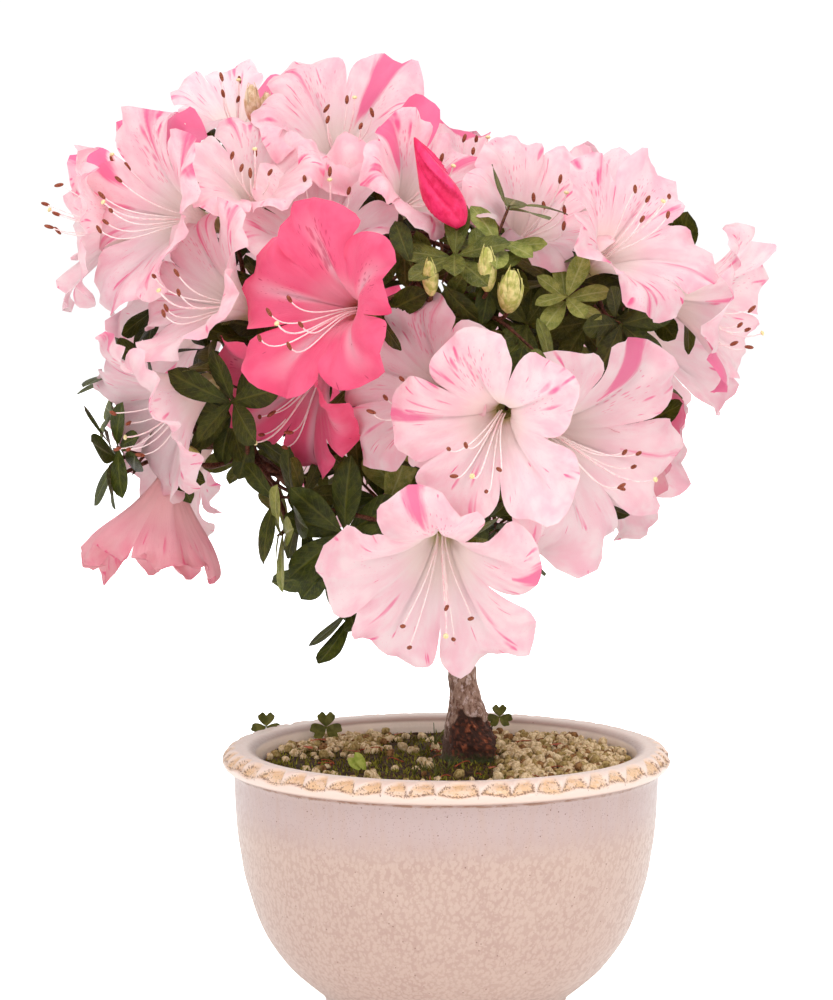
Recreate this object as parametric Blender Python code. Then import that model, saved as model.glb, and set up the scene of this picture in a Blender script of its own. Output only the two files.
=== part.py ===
"""An azalea grown as a bonsai, in full bloom, in its round glazed pot.

World frame: +Z up, +X to the right of the front view, +Y away from the viewer.
The origin is at the centre of the pot's flat underside. Every length in the
tables is in millimetres, and becomes metres when a mesh is made.

A direction is told by two angles: its turn from the front (0 looks at the
viewer, 90 to the right, 180 to the back) and its rise above level.
"""

import math
import random

import bmesh
import bpy
from mathutils import Vector
from mathutils.bvhtree import BVHTree

MM = 0.001
SEED = 27
CLEAR = 0.3

# Pot: a turned bowl on a low foot, with a rim pressed into a rope of thumb marks.
RIM_COLUMNS = 96
BODY_COLUMNS = 48
RIM_MARKS = 48
RIM_MARK_DEPTH = 1.5
RIM_OUTLINE = [(73.0, 101.6), (79.0, 102.6), (83.8, 100.6), (84.4, 97.4)]
RIM_MARK_SHARE = [0.0, 0.3, 1.0, 0.5]
BODY_OUTLINE = [
    (82.2, 94.6), (80.5, 91.2), (79.6, 71.0), (77.0, 55.0), (72.0, 39.0),
    (63.4, 23.6), (52.0, 12.2), (46.6, 7.4), (45.6, 0.0),
]
WALL_OUTLINE = [(71.6, 98.0), (71.6, 76.0), (66.0, 44.0), (46.0, 16.0)]
FLOOR_HEIGHT = 12.0
DRAIN_RADIUS = 5.0
DRAIN_REACH = 26.0
DRAIN_CUT = 60.0
DRAINS = 3

# Soil: fills the bowl to just under its lip, with a lumpy top of grit. Its rings are
# told by radius, how far right their middle lies, height and how uneven they are; the
# inner two leave a shallow seat round the trunk's foot.
SOIL_TOP = 95.0
SOIL_RINGS = [
    (13.2, 8.2, 95.0, 0.0), (15.8, 8.2, 97.2, 0.5), (24.0, 5.0, 97.6, 1.3),
    (36.0, 2.0, 97.4, 1.3), (48.0, 0.5, 97.3, 1.3), (60.0, 0.0, 97.1, 1.3),
]
SOIL_COLUMNS = 24

# Trunk: height, sideways place and radius at each station, from the flat cut up.
TRUNK_SIDES = 12
TRUNK = [
    (95.4, 8.2, 0.0, 9.7), (99.0, 8.3, 0.0, 9.2), (104.0, 8.1, 0.0, 8.9),
    (109.5, 7.8, 0.0, 8.4), (115.0, 7.9, 0.0, 7.6), (121.0, 7.2, 0.0, 6.2),
    (133.0, 5.9, 0.4, 5.5), (150.0, 3.6, 1.6, 5.5), (170.0, 1.0, 2.6, 5.2),
    (190.0, -1.6, 2.0, 4.8), (210.0, -4.6, 0.4, 4.2), (232.0, -7.0, 1.4, 3.4),
    (252.0, -6.0, 3.0, 2.5),
]
FLARE_LOBES = 5
FLARE_DEPTH = 0.13
FLARE_TOP = 112.0
BURL_HEIGHT = 104.0
BURL_TURN = 128.0
BURL_RISE = 3.4
BURL_SPREAD = 6.0

# Boughs: parent, how far up it, the tip, radius at each end, and the sideways bow.
BOUGH_SIDES = 6
BOUGH_STEPS = 4
BOUGHS = {
    "bough_low_left": ("trunk", 0.60, (-58, -14, 203), 3.3, 1.9, (0, -3, -7)),
    "bough_low_right": ("trunk", 0.69, (40, -24, 207), 3.0, 1.8, (2, 3, -6)),
    "bough_low_front": ("trunk", 0.63, (-8, -46, 190), 2.8, 1.8, (4, 2, -5)),
    "bough_low_back": ("trunk", 0.66, (14, 52, 204), 3.0, 1.8, (3, -4, -6)),
    "bough_left": ("trunk", 0.74, (-58, -8, 250), 2.9, 1.7, (0, 4, -6)),
    "bough_front": ("trunk", 0.78, (4, -44, 230), 2.6, 1.7, (-3, 0, -5)),
    "bough_right": ("trunk", 0.85, (44, 2, 262), 2.8, 1.7, (2, 3, -6)),
    "bough_back_left": ("trunk", 0.82, (-48, 48, 250), 2.8, 1.7, (-2, -3, -5)),
    "bough_front_left": ("trunk", 0.88, (-36, -34, 258), 2.4, 1.6, (2, 2, -5)),
    "bough_back_right": ("trunk", 0.91, (34, 46, 262), 2.4, 1.6, (2, -2, -4)),
    "bough_top_left": ("trunk", 0.95, (-58, 0, 292), 2.1, 1.5, (-2, 2, 3)),
    "bough_top_front": ("trunk", 0.98, (-14, -28, 284), 1.9, 1.4, (0, -3, 0)),
}

# Masses: the limb they start from, the middle of their space and its reach.
MASSES = {
    "mass_front": ("bough_front", (14, -64, 226), 62),
    "mass_low_front": ("bough_low_front", (-16, -60, 180), 62),
    "mass_front_left": ("bough_front_left", (-42, -56, 256), 60),
    "mass_low_left": ("bough_low_left", (-84, -12, 216), 76),
    "mass_left": ("bough_left", (-86, -18, 268), 62),
    "mass_top_left": ("bough_top_left", (-72, 2, 306), 60),
    "mass_top": ("trunk", (-22, 6, 292), 62),
    "mass_top_front": ("bough_top_front", (-20, -46, 296), 74),
    "mass_top_right": ("bough_right", (52, -14, 276), 66),
    "mass_low_right": ("bough_low_right", (58, -26, 222), 58),
    "mass_back_left": ("bough_back_left", (-58, 62, 256), 62),
    "mass_back_right": ("bough_back_right", (44, 60, 266), 62),
    "mass_low_back": ("bough_low_back", (10, 66, 210), 62),
}

# Blooms: mass, place of the throat, turn, rise, span, roll, openness and colour.
BLOOMS = {
    "front_star": ("mass_front", (16, -100, 232), -16, -12, 71, 8, 1.0, "pale"),
    "front_right": ("mass_front", (40, -66, 224), 40, -12, 84, -20, 1.0, "pale"),
    "front_inner": ("mass_front", (-4, -67, 240), -34, 8, 71, 20, 0.95, "pale"),
    "front_low": ("mass_low_front", (-3, -86, 185), -4, -35, 82, 18, 0.9, "pale"),
    "rose_upper": ("mass_front_left", (-37, -84, 270), -36, 8, 71, 11, 0.95, "rose"),
    "rose_lower": ("mass_front_left", (-49, -47, 243), -46, -32, 68, -18, 0.85, "rose"),
    "left_mid": ("mass_left", (-79, -55, 272), -54, 22, 68, -12, 0.9, "pale"),
    "left_far": ("mass_left", (-123, -4, 298), -80, 2, 66, 6, 0.9, "pale"),
    "left_upper": ("mass_left", (-97, -32, 302), -54, 10, 76, 4, 1.0, "streaked"),
    "left_low": ("mass_low_left", (-95, -43, 237), -68, -28, 76, 10, 0.85, "pale"),
    "left_hanging": ("mass_low_left", (-105, -20, 198), -60, -76, 70, 24, 0.3, "blush"),
    "top_left_back": ("mass_left", (-109, 8, 314), -40, 34, 62, -12, 0.9, "streaked"),
    "top_left_pale": ("mass_top_front", (-70, -38, 310), -2, 46, 59, 14, 0.85, "pale"),
    "top_left_rear": ("mass_top_left", (-80, 23, 337), -2, 58, 58, 14, 0.85, "pale"),
    "top_centre": ("mass_top_front", (-40, -14, 328), 8, 44, 72, -8, 0.9, "streaked"),
    "upper_wide": ("mass_top_front", (-46, -44, 293), -6, 44, 68, 50, 0.9, "pale"),
    "top_streaked": ("mass_top_front", (-14, -46, 308), 36, 36, 58, 8, 0.8, "streaked"),
    "top_mid": ("mass_top", (6, -4, 312), 22, 56, 61, 22, 0.85, "streaked"),
    "top_right_mid": ("mass_top_right", (28, -37, 297), 28, 40, 66, 4, 0.85, "pale"),
    "top_right": ("mass_top_right", (56, -9, 297), 22, 46, 62, 22, 0.9, "streaked"),
    "right_wide": ("mass_top_right", (58, -53, 289), 42, 28, 67, -12, 1.0, "streaked"),
    "right_side": ("mass_top_right", (90, -18, 271), 74, -8, 74, 4, 0.8, "pale"),
    "right_behind": ("mass_low_right", (58, -26, 226), 54, 2, 68, 30, 0.85, "blush"),
    "right_low": ("mass_low_right", (60, 8, 214), 112, -22, 68, 10, 0.85, "pale"),
    "back_right_high": ("mass_back_right", (52, 44, 294), 140, 36, 72, 0, 0.9, "pale"),
    "back_right_side": ("mass_back_right", (78, 34, 258), 112, 2, 74, 24, 0.9, "pale"),
    "back_right_mid": ("mass_back_right", (40, 84, 262), 162, 4, 74, 40, 0.9, "streaked"),
    "back_high": ("mass_top", (-14, 44, 309), 168, 50, 70, 10, 0.9, "pale"),
    "back_left_high": ("mass_back_left", (-62, 54, 300), -150, 34, 72, 50, 0.9, "pale"),
    "back_left_mid": ("mass_back_left", (-44, 90, 258), -168, 0, 74, 16, 0.9, "rose"),
    "back_left_side": ("mass_back_left", (-96, 49, 263), -122, -2, 72, 34, 0.9, "pale"),
    "back_low_left": ("mass_low_back", (-27, 76, 214), -164, -30, 72, 0, 0.85, "pale"),
    "back_low_right": ("mass_low_back", (34, 70, 208), 146, -28, 72, 20, 0.85, "pale"),
    "left_low_back": ("mass_low_left", (-96, 27, 216), -112, -32, 70, 40, 0.85, "pale"),
}

# Whorls of leaves at a shoot's end: mass, place, turn, rise, leaves and length.
WHORLS = [
    ("mass_top_front", (2, -76, 289), -10, 44, 8, 20),
    ("mass_top_front", (18, -72, 293), 14, 50, 8, 18),
    ("mass_top_front", (-6, -64, 280), -30, 0, 6, 18),
    ("mass_top_right", (42, -66, 274), 10, 36, 8, 16),
    ("mass_top_right", (60, -58, 266), 40, 4, 6, 19),
    ("mass_top_right", (28, -58, 264), -10, 10, 6, 17),
    ("mass_front", (30, -50, 258), 20, 40, 6, 17),
    ("mass_front", (18, -44, 188), 20, -56, 6, 22),
    ("mass_front", (32, -36, 186), 50, -60, 5, 20),
    ("mass_low_left", (-80, -33, 230), -30, -6, 7, 23),
    ("mass_low_left", (-72, -30, 222), -10, -30, 6, 22),
    ("mass_low_left", (-124, -14, 213), -84, -4, 8, 24),
    ("mass_low_left", (-126, -10, 229), -86, 10, 6, 21),
    ("mass_low_left", (-66, 14, 200), -100, -40, 6, 24),
    ("mass_low_front", (-38, -50, 188), -20, 0, 8, 27),
    ("mass_low_front", (-56, -42, 196), -64, -8, 7, 25),
    ("mass_low_front", (-44, -44, 174), -34, -44, 7, 25),
    ("mass_low_front", (-22, -52, 198), 10, 24, 6, 22),
    ("mass_front_left", (-66, -50, 262), -40, 16, 6, 25),
    ("mass_front_left", (-60, -36, 222), -30, -40, 6, 23),
    ("mass_low_right", (36, -10, 190), 60, -50, 6, 24),
    ("mass_low_right", (72, -20, 242), 70, 40, 6, 24),
    ("mass_left", (-112, -30, 252), -80, -20, 5, 24),
    ("mass_left", (-96, 8, 292), -90, 30, 5, 24),
    ("mass_top_left", (-60, 30, 318), -160, 60, 6, 24),
    ("mass_top", (-30, 18, 332), 0, 80, 6, 24),
    ("mass_top", (20, 24, 314), 100, 60, 6, 24),
    ("mass_back_right", (66, 62, 284), 130, 20, 6, 24),
    ("mass_back_right", (16, 74, 290), 170, 30, 6, 24),
    ("mass_back_left", (-72, 78, 244), -140, -10, 6, 24),
    ("mass_back_left", (-14, 80, 286), 170, 30, 6, 24),
    ("mass_low_back", (0, 84, 236), 178, 10, 6, 24),
    ("mass_low_back", (6, 52, 184), 178, -60, 6, 24),
    ("mass_top_right", (86, 10, 284), 100, 30, 6, 24),
]

# Buds that are still shut: mass, place of the tip, turn, rise, length and width.
BUDS = [
    ("mass_top_front", (-12, -76, 329), -83, 62, 35, 10),
    ("mass_top_front", (22, -86, 284), 10, 66, 17, 8),
    ("mass_top_front", (13, -85, 292), -6, 74, 17, 6),
    ("mass_top_front", (-7, -85, 287), -10, 66, 14, 5),
]

# A bloom's funnel along its length: share from foot to tip, radius and depth
# as shares of half its span.
FUNNEL = [
    (0.00, 0.07, 0.00), (0.22, 0.12, 0.30), (0.40, 0.28, 0.56),
    (0.56, 0.46, 0.72), (0.80, 0.78, 0.90), (1.00, 1.00, 0.92),
]
LOBES = 5
NOTCH = 0.56
LOBE_SHOULDER = 0.8
PETAL_THICK = 1.1
TUBE_THICK = 0.9
TUBE_SHARE = 0.22
MOUTH_POINTS = 20
THROAT_DEPTH = 0.45

# How much a bloom that isn't fully open draws in at its edge, and bulges before it.
CLOSING = 0.55
BELL = 1.3

# A mass's own stem, the twigs that leave its end, and the leaves they carry. A twig
# that would touch another piece is bent a little more at each try.
STEM_RADII = [1.5, 1.5, 1.3]
STEM_REACH = 14.0
TWIG_RADIUS = 1.15
TWIG_STEPS = 3
TWIG_TRIES = 60
TWIG_SWAY = 0.05
GOLDEN_TURN = 137.5
LEAF_WIDTH = 0.38
LEAF_THICK = 0.9
LEAF_SUNK = 0.16
LEAF_SPREAD = (52, 78)
BLOOM_LEAVES = 3
BLOOM_LEAF_LENGTH = 21
BLOOM_LEAF_SPREAD = (60, 95)

COLOURS = {
    "glaze": ((0.80, 0.70, 0.62), 0.28),
    "soil": ((0.22, 0.17, 0.11), 0.95),
    "bark": ((0.27, 0.17, 0.13), 0.85),
    "bloom": ((0.93, 0.66, 0.71), 0.55),
    "leaf": ((0.09, 0.15, 0.05), 0.5),
}


def along(turn, rise):
    """The direction that a turn from the front and a rise above level give."""
    turn = math.radians(turn)
    rise = math.radians(rise)
    level = math.cos(rise)
    return Vector((math.sin(turn) * level, -math.cos(turn) * level, math.sin(rise)))


def across(direction):
    """Two directions at right angles to this one and to each other."""
    helper = Vector((0, 0, 1)) if abs(direction.z) < 0.9 else Vector((1, 0, 0))
    side = direction.cross(helper).normalized()
    return side, side.cross(direction).normalized()


def blend(table, share, column):
    """Reads a column of a table between its rows, where the first is the share."""
    for lower, upper in zip(table, table[1:]):
        if share <= upper[0]:
            part = (share - lower[0]) / (upper[0] - lower[0])
            return lower[column] + (upper[column] - lower[column]) * part
    return table[-1][column]


class Shell:
    """Points and faces of one closed piece."""

    def __init__(self):
        self.points = []
        self.faces = []

    def ring(self, points):
        """Adds points and gives back their places in the list."""
        first = len(self.points)
        self.points.extend(Vector(point) for point in points)
        return list(range(first, len(self.points)))

    def bridge(self, coarse, fine):
        """Faces between two rings, where one may have a multiple of the other's points."""
        if len(coarse) > len(fine):
            coarse, fine = fine, coarse
        step = len(fine) // len(coarse)
        for i, near in enumerate(coarse):
            far = coarse[(i + 1) % len(coarse)]
            steps = [fine[(i * step + k) % len(fine)] for k in range(step + 1)]
            if step == 1:
                self.faces.append((near, far, steps[1], steps[0]))
                continue
            for k in range(step // 2):
                self.faces.append((near, steps[k + 1], steps[k]))
            self.faces.append((near, far, steps[step // 2]))
            for k in range(step // 2, step):
                self.faces.append((far, steps[k + 1], steps[k]))

    def fan(self, ring, point):
        """Closes a ring to a point."""
        pole = self.ring([point])[0]
        for i, near in enumerate(ring):
            self.faces.append((near, ring[(i + 1) % len(ring)], pole))

    def mesh(self, name):
        """A mesh in metres, with all its faces pointing out."""
        mesh = bpy.data.meshes.new(name)
        mesh.from_pydata([point * MM for point in self.points], [], self.faces)
        work = bmesh.new()
        work.from_mesh(mesh)
        bmesh.ops.recalc_face_normals(work, faces=work.faces)
        bmesh.ops.triangulate(work, faces=work.faces)
        work.to_mesh(mesh)
        work.free()
        return mesh

    def tree(self):
        """The search tree that tests whether this piece crosses another."""
        return BVHTree.FromPolygons(self.points, self.faces)


def circle(centre, side, up, radii):
    """Points round a centre, one for each radius."""
    count = len(radii)
    points = []
    for i, radius in enumerate(radii):
        angle = math.tau * i / count
        points.append(centre + (side * math.cos(angle) + up * math.sin(angle)) * radius)
    return points


def tube(path, radii, sides, shape=None):
    """A closed tapering limb along a path; shape may change the radius round it."""
    shell = Shell()
    rings = []
    side = None
    for i, point in enumerate(path):
        ahead = path[min(i + 1, len(path) - 1)] - path[max(i - 1, 0)]
        ahead.normalize()
        if side is None:
            side, up = across(ahead)
        side = (side - ahead * side.dot(ahead)).normalized()
        up = side.cross(ahead)
        around = [radii[i] for _ in range(sides)]
        if shape:
            around = [shape(point.z, 360 * k / sides, radii[i]) for k in range(sides)]
        rings.append(shell.ring(circle(point, side, up, around)))
    for lower, upper in zip(rings, rings[1:]):
        shell.bridge(lower, upper)
    shell.faces.append(tuple(rings[0]))
    shell.faces.append(tuple(rings[-1]))
    return shell


def sweep(start, leave, arrive, end, steps):
    """Points of a smooth curve that leaves and arrives along given directions."""
    pull = (end - start).length * 0.38
    first = start + leave * pull
    last = end - arrive * pull
    points = []
    for i in range(steps + 1):
        t = i / steps
        s = 1 - t
        points.append(
            start * s ** 3 + first * 3 * s * s * t + last * 3 * s * t * t + end * t ** 3
        )
    return points


def bow(start, end, offset, steps):
    """Points of a limb from start to end that bows aside by an offset."""
    middle = (start + end) / 2 + Vector(offset) * 2
    points = []
    for i in range(steps + 1):
        t = i / steps
        s = 1 - t
        points.append(start * s * s + middle * 2 * s * t + end * t * t)
    return points


def trunk_path():
    return [Vector((x, y, z)) for z, x, y, _ in TRUNK]


def trunk_radius(z, degrees, radius):
    """The trunk's radius at a height and an angle: the root flare and the pruned burl."""
    flare = max(0.0, (FLARE_TOP - z) / (FLARE_TOP - TRUNK[0][0]))
    radius *= 1 + FLARE_DEPTH * flare * math.cos(math.radians(FLARE_LOBES * degrees + 40))
    near = math.cos(math.radians(degrees - BURL_TURN))
    height = math.exp(-((z - BURL_HEIGHT) / BURL_SPREAD) ** 2)
    return radius + BURL_RISE * height * max(0.0, near) ** 3


def limb_path(name):
    """Points along a bough from its parent's middle, or along the trunk."""
    if name == "trunk":
        return trunk_path()
    parent, share, tip, _, _, offset = BOUGHS[name]
    path = limb_path(parent)
    place = share * (len(path) - 1)
    lower = path[int(place)]
    upper = path[min(int(place) + 1, len(path) - 1)]
    start = lower.lerp(upper, place - int(place))
    return bow(start, Vector(tip), offset, BOUGH_STEPS)


def limb_shell(name, more=0.0):
    """The trunk or a bough as a closed tube, thicker by more where a gap is cut."""
    if name == "trunk":
        radii = [radius + more for _, _, _, radius in TRUNK]
        return tube(trunk_path(), radii, TRUNK_SIDES, None if more else trunk_radius)
    _, _, _, thick, thin, _ = BOUGHS[name]
    path = limb_path(name)
    radii = []
    for i in range(len(path)):
        radii.append(thick + (thin - thick) * i / (len(path) - 1) + more)
    return tube(path, radii, BOUGH_SIDES)


def stem_of(mass):
    """Where a mass's own stem starts, 0.3 mm past its limb's tip, and which way it goes."""
    path = limb_path(MASSES[mass][0])
    ahead = (path[-1] - path[-2]).normalized()
    return path[-1] + ahead * CLEAR, ahead


def bloom_frame(name):
    """The foot of a bloom and its axes: sideways, up and out of its throat."""
    _, throat, turn, rise, span, roll, _, _ = BLOOMS[name]
    out = along(turn, rise)
    side, up = across(out)
    angle = math.radians(roll)
    rolled_side = side * math.cos(angle) + up * math.sin(angle)
    rolled_up = up * math.cos(angle) - side * math.sin(angle)
    foot = Vector(throat) - out * span / 2 * THROAT_DEPTH
    return foot, rolled_side, rolled_up, out


def lobe_edge(u):
    """How far along the funnel a lobe reaches, u running from -1 to 1 across it."""
    full = max(0.0, 1 - abs(u) ** 3.2) ** 0.5
    return NOTCH + (1 - NOTCH) * full


def bloom_shell(name):
    """One bloom: a funnel of five lobes that thins to its edge."""
    _, _, _, _, span, _, openness, _ = BLOOMS[name]
    chance = random.Random(f"{SEED} {name}")
    half = span / 2
    foot, side, up, out = bloom_frame(name)
    curls = [chance.uniform(-0.08, 0.06) for _ in range(LOBES)]
    waves = [chance.uniform(-0.06, 0.06) for _ in range(LOBES * 2)]

    def place(degrees, share, lift):
        """A point on the funnel at an angle, a share of its length and a lift off it."""
        radius = blend(FUNNEL, share, 1) * half
        depth = blend(FUNNEL, share, 2) * half
        shut = (1 - openness) * share
        radius *= 1 - CLOSING * shut
        depth *= 1 + CLOSING * shut
        radius *= 1 + BELL * (1 - openness) ** 2 * math.sin(math.pi * share)
        angle = math.radians(degrees)
        ray = side * math.cos(angle) + up * math.sin(angle)
        return foot + ray * (radius - lift * 0.75) + out * (depth + lift * 0.65)

    shell = Shell()
    edge = []
    for lobe in range(LOBES):
        middle = 360 * lobe / LOBES
        for k, u in enumerate((-1.0, -LOBE_SHOULDER, 0.0, LOBE_SHOULDER)):
            share = lobe_edge(u)
            lift = 0.0
            if u == 0.0:
                lift = curls[lobe] * half
            elif k in (1, 3):
                lift = (curls[lobe] * 0.6 + waves[lobe * 2 + (k == 3)]) * half
            edge.append(place(middle + u * 180 / LOBES, share, lift))
    rims = {}
    for lift in (-0.5, 0.5):
        angles = [360 * k / MOUTH_POINTS - 180 / LOBES for k in range(MOUTH_POINTS)]
        mouth = shell.ring([place(a, NOTCH, lift * PETAL_THICK) for a in angles])
        tube_ring = shell.ring([place(a, TUBE_SHARE, lift * TUBE_THICK) for a in angles[::4]])
        end = foot if lift < 0 else foot + out * half * 0.2
        shell.fan(tube_ring, end)
        shell.bridge(tube_ring, mouth)
        rims[lift] = mouth
    outer = shell.ring(edge)
    for mouth in rims.values():
        shell.bridge(mouth, outer)
    return shell


def leaf_shell(root, ahead, face, length, droop, skip=0.0):
    """One leaf: a blade of eight faces, widest past its middle, that droops a little.

    A test of its room skips a share of it at the root, which is sunk in the twig.
    """
    ahead = ahead.normalized()
    side = ahead.cross(face).normalized()
    face = side.cross(ahead).normalized()
    half = length * LEAF_WIDTH / 2
    middle = root + ahead * length * 0.55 - face * droop * 0.35
    tip = root + ahead * length - face * droop
    shell = Shell()
    rim = shell.ring([
        root + ahead * length * skip, middle + side * half + face * 0.1 * half, tip,
        middle - side * half + face * 0.1 * half,
    ])
    shell.fan(rim, middle + face * LEAF_THICK * 0.3)
    shell.fan(rim, middle - face * LEAF_THICK * 0.7)
    return shell


def bud_shell(tip, out, length, width):
    """A bud that is still shut: a spindle."""
    side, up = across(out)
    foot = tip - out * length
    shell = Shell()
    rings = []
    for share, radius in ((0.3, 0.5), (0.65, 0.42)):
        radii = [radius * width for _ in range(5)]
        rings.append(shell.ring(circle(foot + out * length * share, side, up, radii)))
    shell.bridge(rings[0], rings[1])
    shell.fan(rings[0], foot)
    shell.fan(rings[1], tip)
    return shell


class Crown:
    """The masses as they grow, which keeps each new piece clear of what is there."""

    def __init__(self):
        self.limbs = [limb_shell(name).tree() for name in ["trunk", *BOUGHS]]
        self.pieces = {mass: [] for mass in MASSES}
        self.trees = {mass: [] for mass in MASSES}
        self.left_out = []
        self.leaves = 0

    def clear(self, mass, shell, own_too=False):
        tree = shell.tree()
        others = list(self.limbs)
        for name, trees in self.trees.items():
            if name != mass or own_too:
                others.extend(trees)
        return not any(tree.overlap(other) for other in others)

    def within(self, mass, points):
        _, centre, reach = MASSES[mass]
        return all((point - Vector(centre)).length < reach for point in points)

    def keep(self, mass, shell):
        self.pieces[mass].append(shell)
        self.trees[mass].append(shell.tree())

    def grow_twig(self, mass, start, leave, arrive, end, name):
        """The first of some seeded bends of a twig that touches nothing, or None."""
        chance = random.Random(f"{SEED} {name}")
        for attempt in range(TWIG_TRIES):
            sway = Vector([chance.uniform(-1, 1) for _ in range(3)]) * TWIG_SWAY * attempt
            path = sweep(start, (leave + sway).normalized(), arrive, end, TWIG_STEPS)
            radii = [TWIG_RADIUS * (1 - 0.25 * i / TWIG_STEPS) for i in range(TWIG_STEPS + 1)]
            shell = tube(path, radii, 3)
            if self.clear(mass, shell):
                self.keep(mass, shell)
                return path
        self.left_out.append(name)
        return None

    def add_leaves(self, mass, place, out, count, length, name, spread=LEAF_SPREAD):
        """Leaves in a whorl round a shoot's end, each skipped where it has no room."""
        chance = random.Random(f"{SEED} leaves {name}")
        side, up = across(out)
        first = chance.uniform(0, 360)
        for i in range(count):
            turn = math.radians(first + GOLDEN_TURN * i)
            lean = math.radians(chance.uniform(*spread))
            ray = side * math.cos(turn) + up * math.sin(turn)
            ahead = out * math.cos(lean) + ray * math.sin(lean)
            face = out * math.sin(lean) - ray * math.cos(lean)
            size = length * chance.uniform(0.82, 1.1)
            root = place - out * (0.4 + 0.55 * i) - ahead * 0.5
            droop = size * chance.uniform(0.05, 0.2)
            blade = leaf_shell(root, ahead, face, size, droop, LEAF_SUNK)
            if self.within(mass, blade.points) and self.clear(mass, blade, own_too=True):
                self.keep(mass, leaf_shell(root, ahead, face, size, droop))
                self.leaves += 1


def grow_crown():
    """Grows every mass: its stem, its blooms with their twigs, then its leaves."""
    crown = Crown()
    hubs = {}
    for mass, (_, centre, _) in MASSES.items():
        start, ahead = stem_of(mass)
        reach = min(STEM_REACH, (Vector(centre) - start).length * 0.5)
        hub = start + (ahead + (Vector(centre) - start).normalized()).normalized() * reach
        crown.keep(mass, tube([start, start + ahead * 2.0, hub], STEM_RADII, 5))
        hubs[mass] = (hub, (hub - start).normalized())
    for name, row in BLOOMS.items():
        shell = bloom_shell(name)
        if not crown.clear(row[0], shell):
            crown.left_out.append(f"touching {name}")
        crown.keep(row[0], shell)
    for name, row in BLOOMS.items():
        hub, leave = hubs[row[0]]
        foot, _, _, out = bloom_frame(name)
        path = crown.grow_twig(row[0], hub - leave * 1.5, leave, out, foot + out * 2.5, name)
        if path:
            place = foot - out * 5
            spread = BLOOM_LEAF_SPREAD
            crown.add_leaves(row[0], place, out, BLOOM_LEAVES, BLOOM_LEAF_LENGTH, name, spread)
    for i, (mass, place, turn, rise, count, length) in enumerate(WHORLS):
        hub, leave = hubs[mass]
        out = along(turn, rise)
        place = Vector(place)
        if crown.grow_twig(mass, hub - leave * 1.5, leave, out, place, f"whorl {i}"):
            crown.add_leaves(mass, place, out, count, length, f"whorl {i}")
    for i, (mass, tip, turn, rise, length, width) in enumerate(BUDS):
        hub, leave = hubs[mass]
        out = along(turn, rise)
        foot = Vector(tip) - out * length * 0.85
        shell = bud_shell(Vector(tip), out, length, width)
        if not crown.clear(mass, shell):
            crown.left_out.append(f"touching bud {i}")
        elif crown.grow_twig(mass, hub - leave * 1.5, leave, out, foot, f"bud {i}"):
            crown.keep(mass, shell)
    return crown


def add_object(name, mesh, collection, material):
    obj = bpy.data.objects.new(name, mesh)
    collection.objects.link(obj)
    if material:
        mesh.materials.append(material)
    return obj


def new_collection(name):
    collection = bpy.data.collections.new(name)
    bpy.context.scene.collection.children.link(collection)
    return collection


def apply_modifiers(obj):
    """Gives the object the mesh that its modifiers make, and removes them."""
    bpy.context.view_layer.update()
    evaluated = obj.evaluated_get(bpy.context.evaluated_depsgraph_get())
    mesh = bpy.data.meshes.new_from_object(evaluated)
    obj.modifiers.clear()
    old = obj.data
    obj.data = mesh
    bpy.data.meshes.remove(old)


def islands(work):
    """The groups of faces that hang together."""
    left = set(work.faces)
    groups = []
    while left:
        todo = [left.pop()]
        group = []
        while todo:
            face = todo.pop()
            group.append(face)
            for edge in face.edges:
                for other in edge.link_faces:
                    if other in left:
                        left.remove(other)
                        todo.append(other)
        groups.append(group)
    return groups


def keep_main_body(mesh):
    """Drops loose scraps, and the inner walls of hollows so that they are filled."""
    work = bmesh.new()
    work.from_mesh(mesh)
    bmesh.ops.triangulate(work, faces=work.faces)
    groups = sorted(islands(work), key=len)
    for group in groups[:-1]:
        bmesh.ops.delete(work, geom=group, context="FACES")
    work.to_mesh(mesh)
    work.free()


def fuse(name, shells, collection, material):
    """Joins the pieces of a mass into one solid."""
    pieces = new_collection(f"{name} pieces")
    for i, shell in enumerate(shells[1:]):
        add_object(f"{name} piece {i}", shell.mesh(f"{name} piece"), pieces, material)
    body = add_object(name, shells[0].mesh(name), collection, material)
    union = body.modifiers.new("union", "BOOLEAN")
    union.operation = "UNION"
    union.operand_type = "COLLECTION"
    union.collection = pieces
    union.solver = "MANIFOLD"
    apply_modifiers(body)
    for obj in list(pieces.objects):
        mesh = obj.data
        bpy.data.objects.remove(obj)
        bpy.data.meshes.remove(mesh)
    bpy.data.collections.remove(pieces)
    keep_main_body(body.data)
    return body


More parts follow.
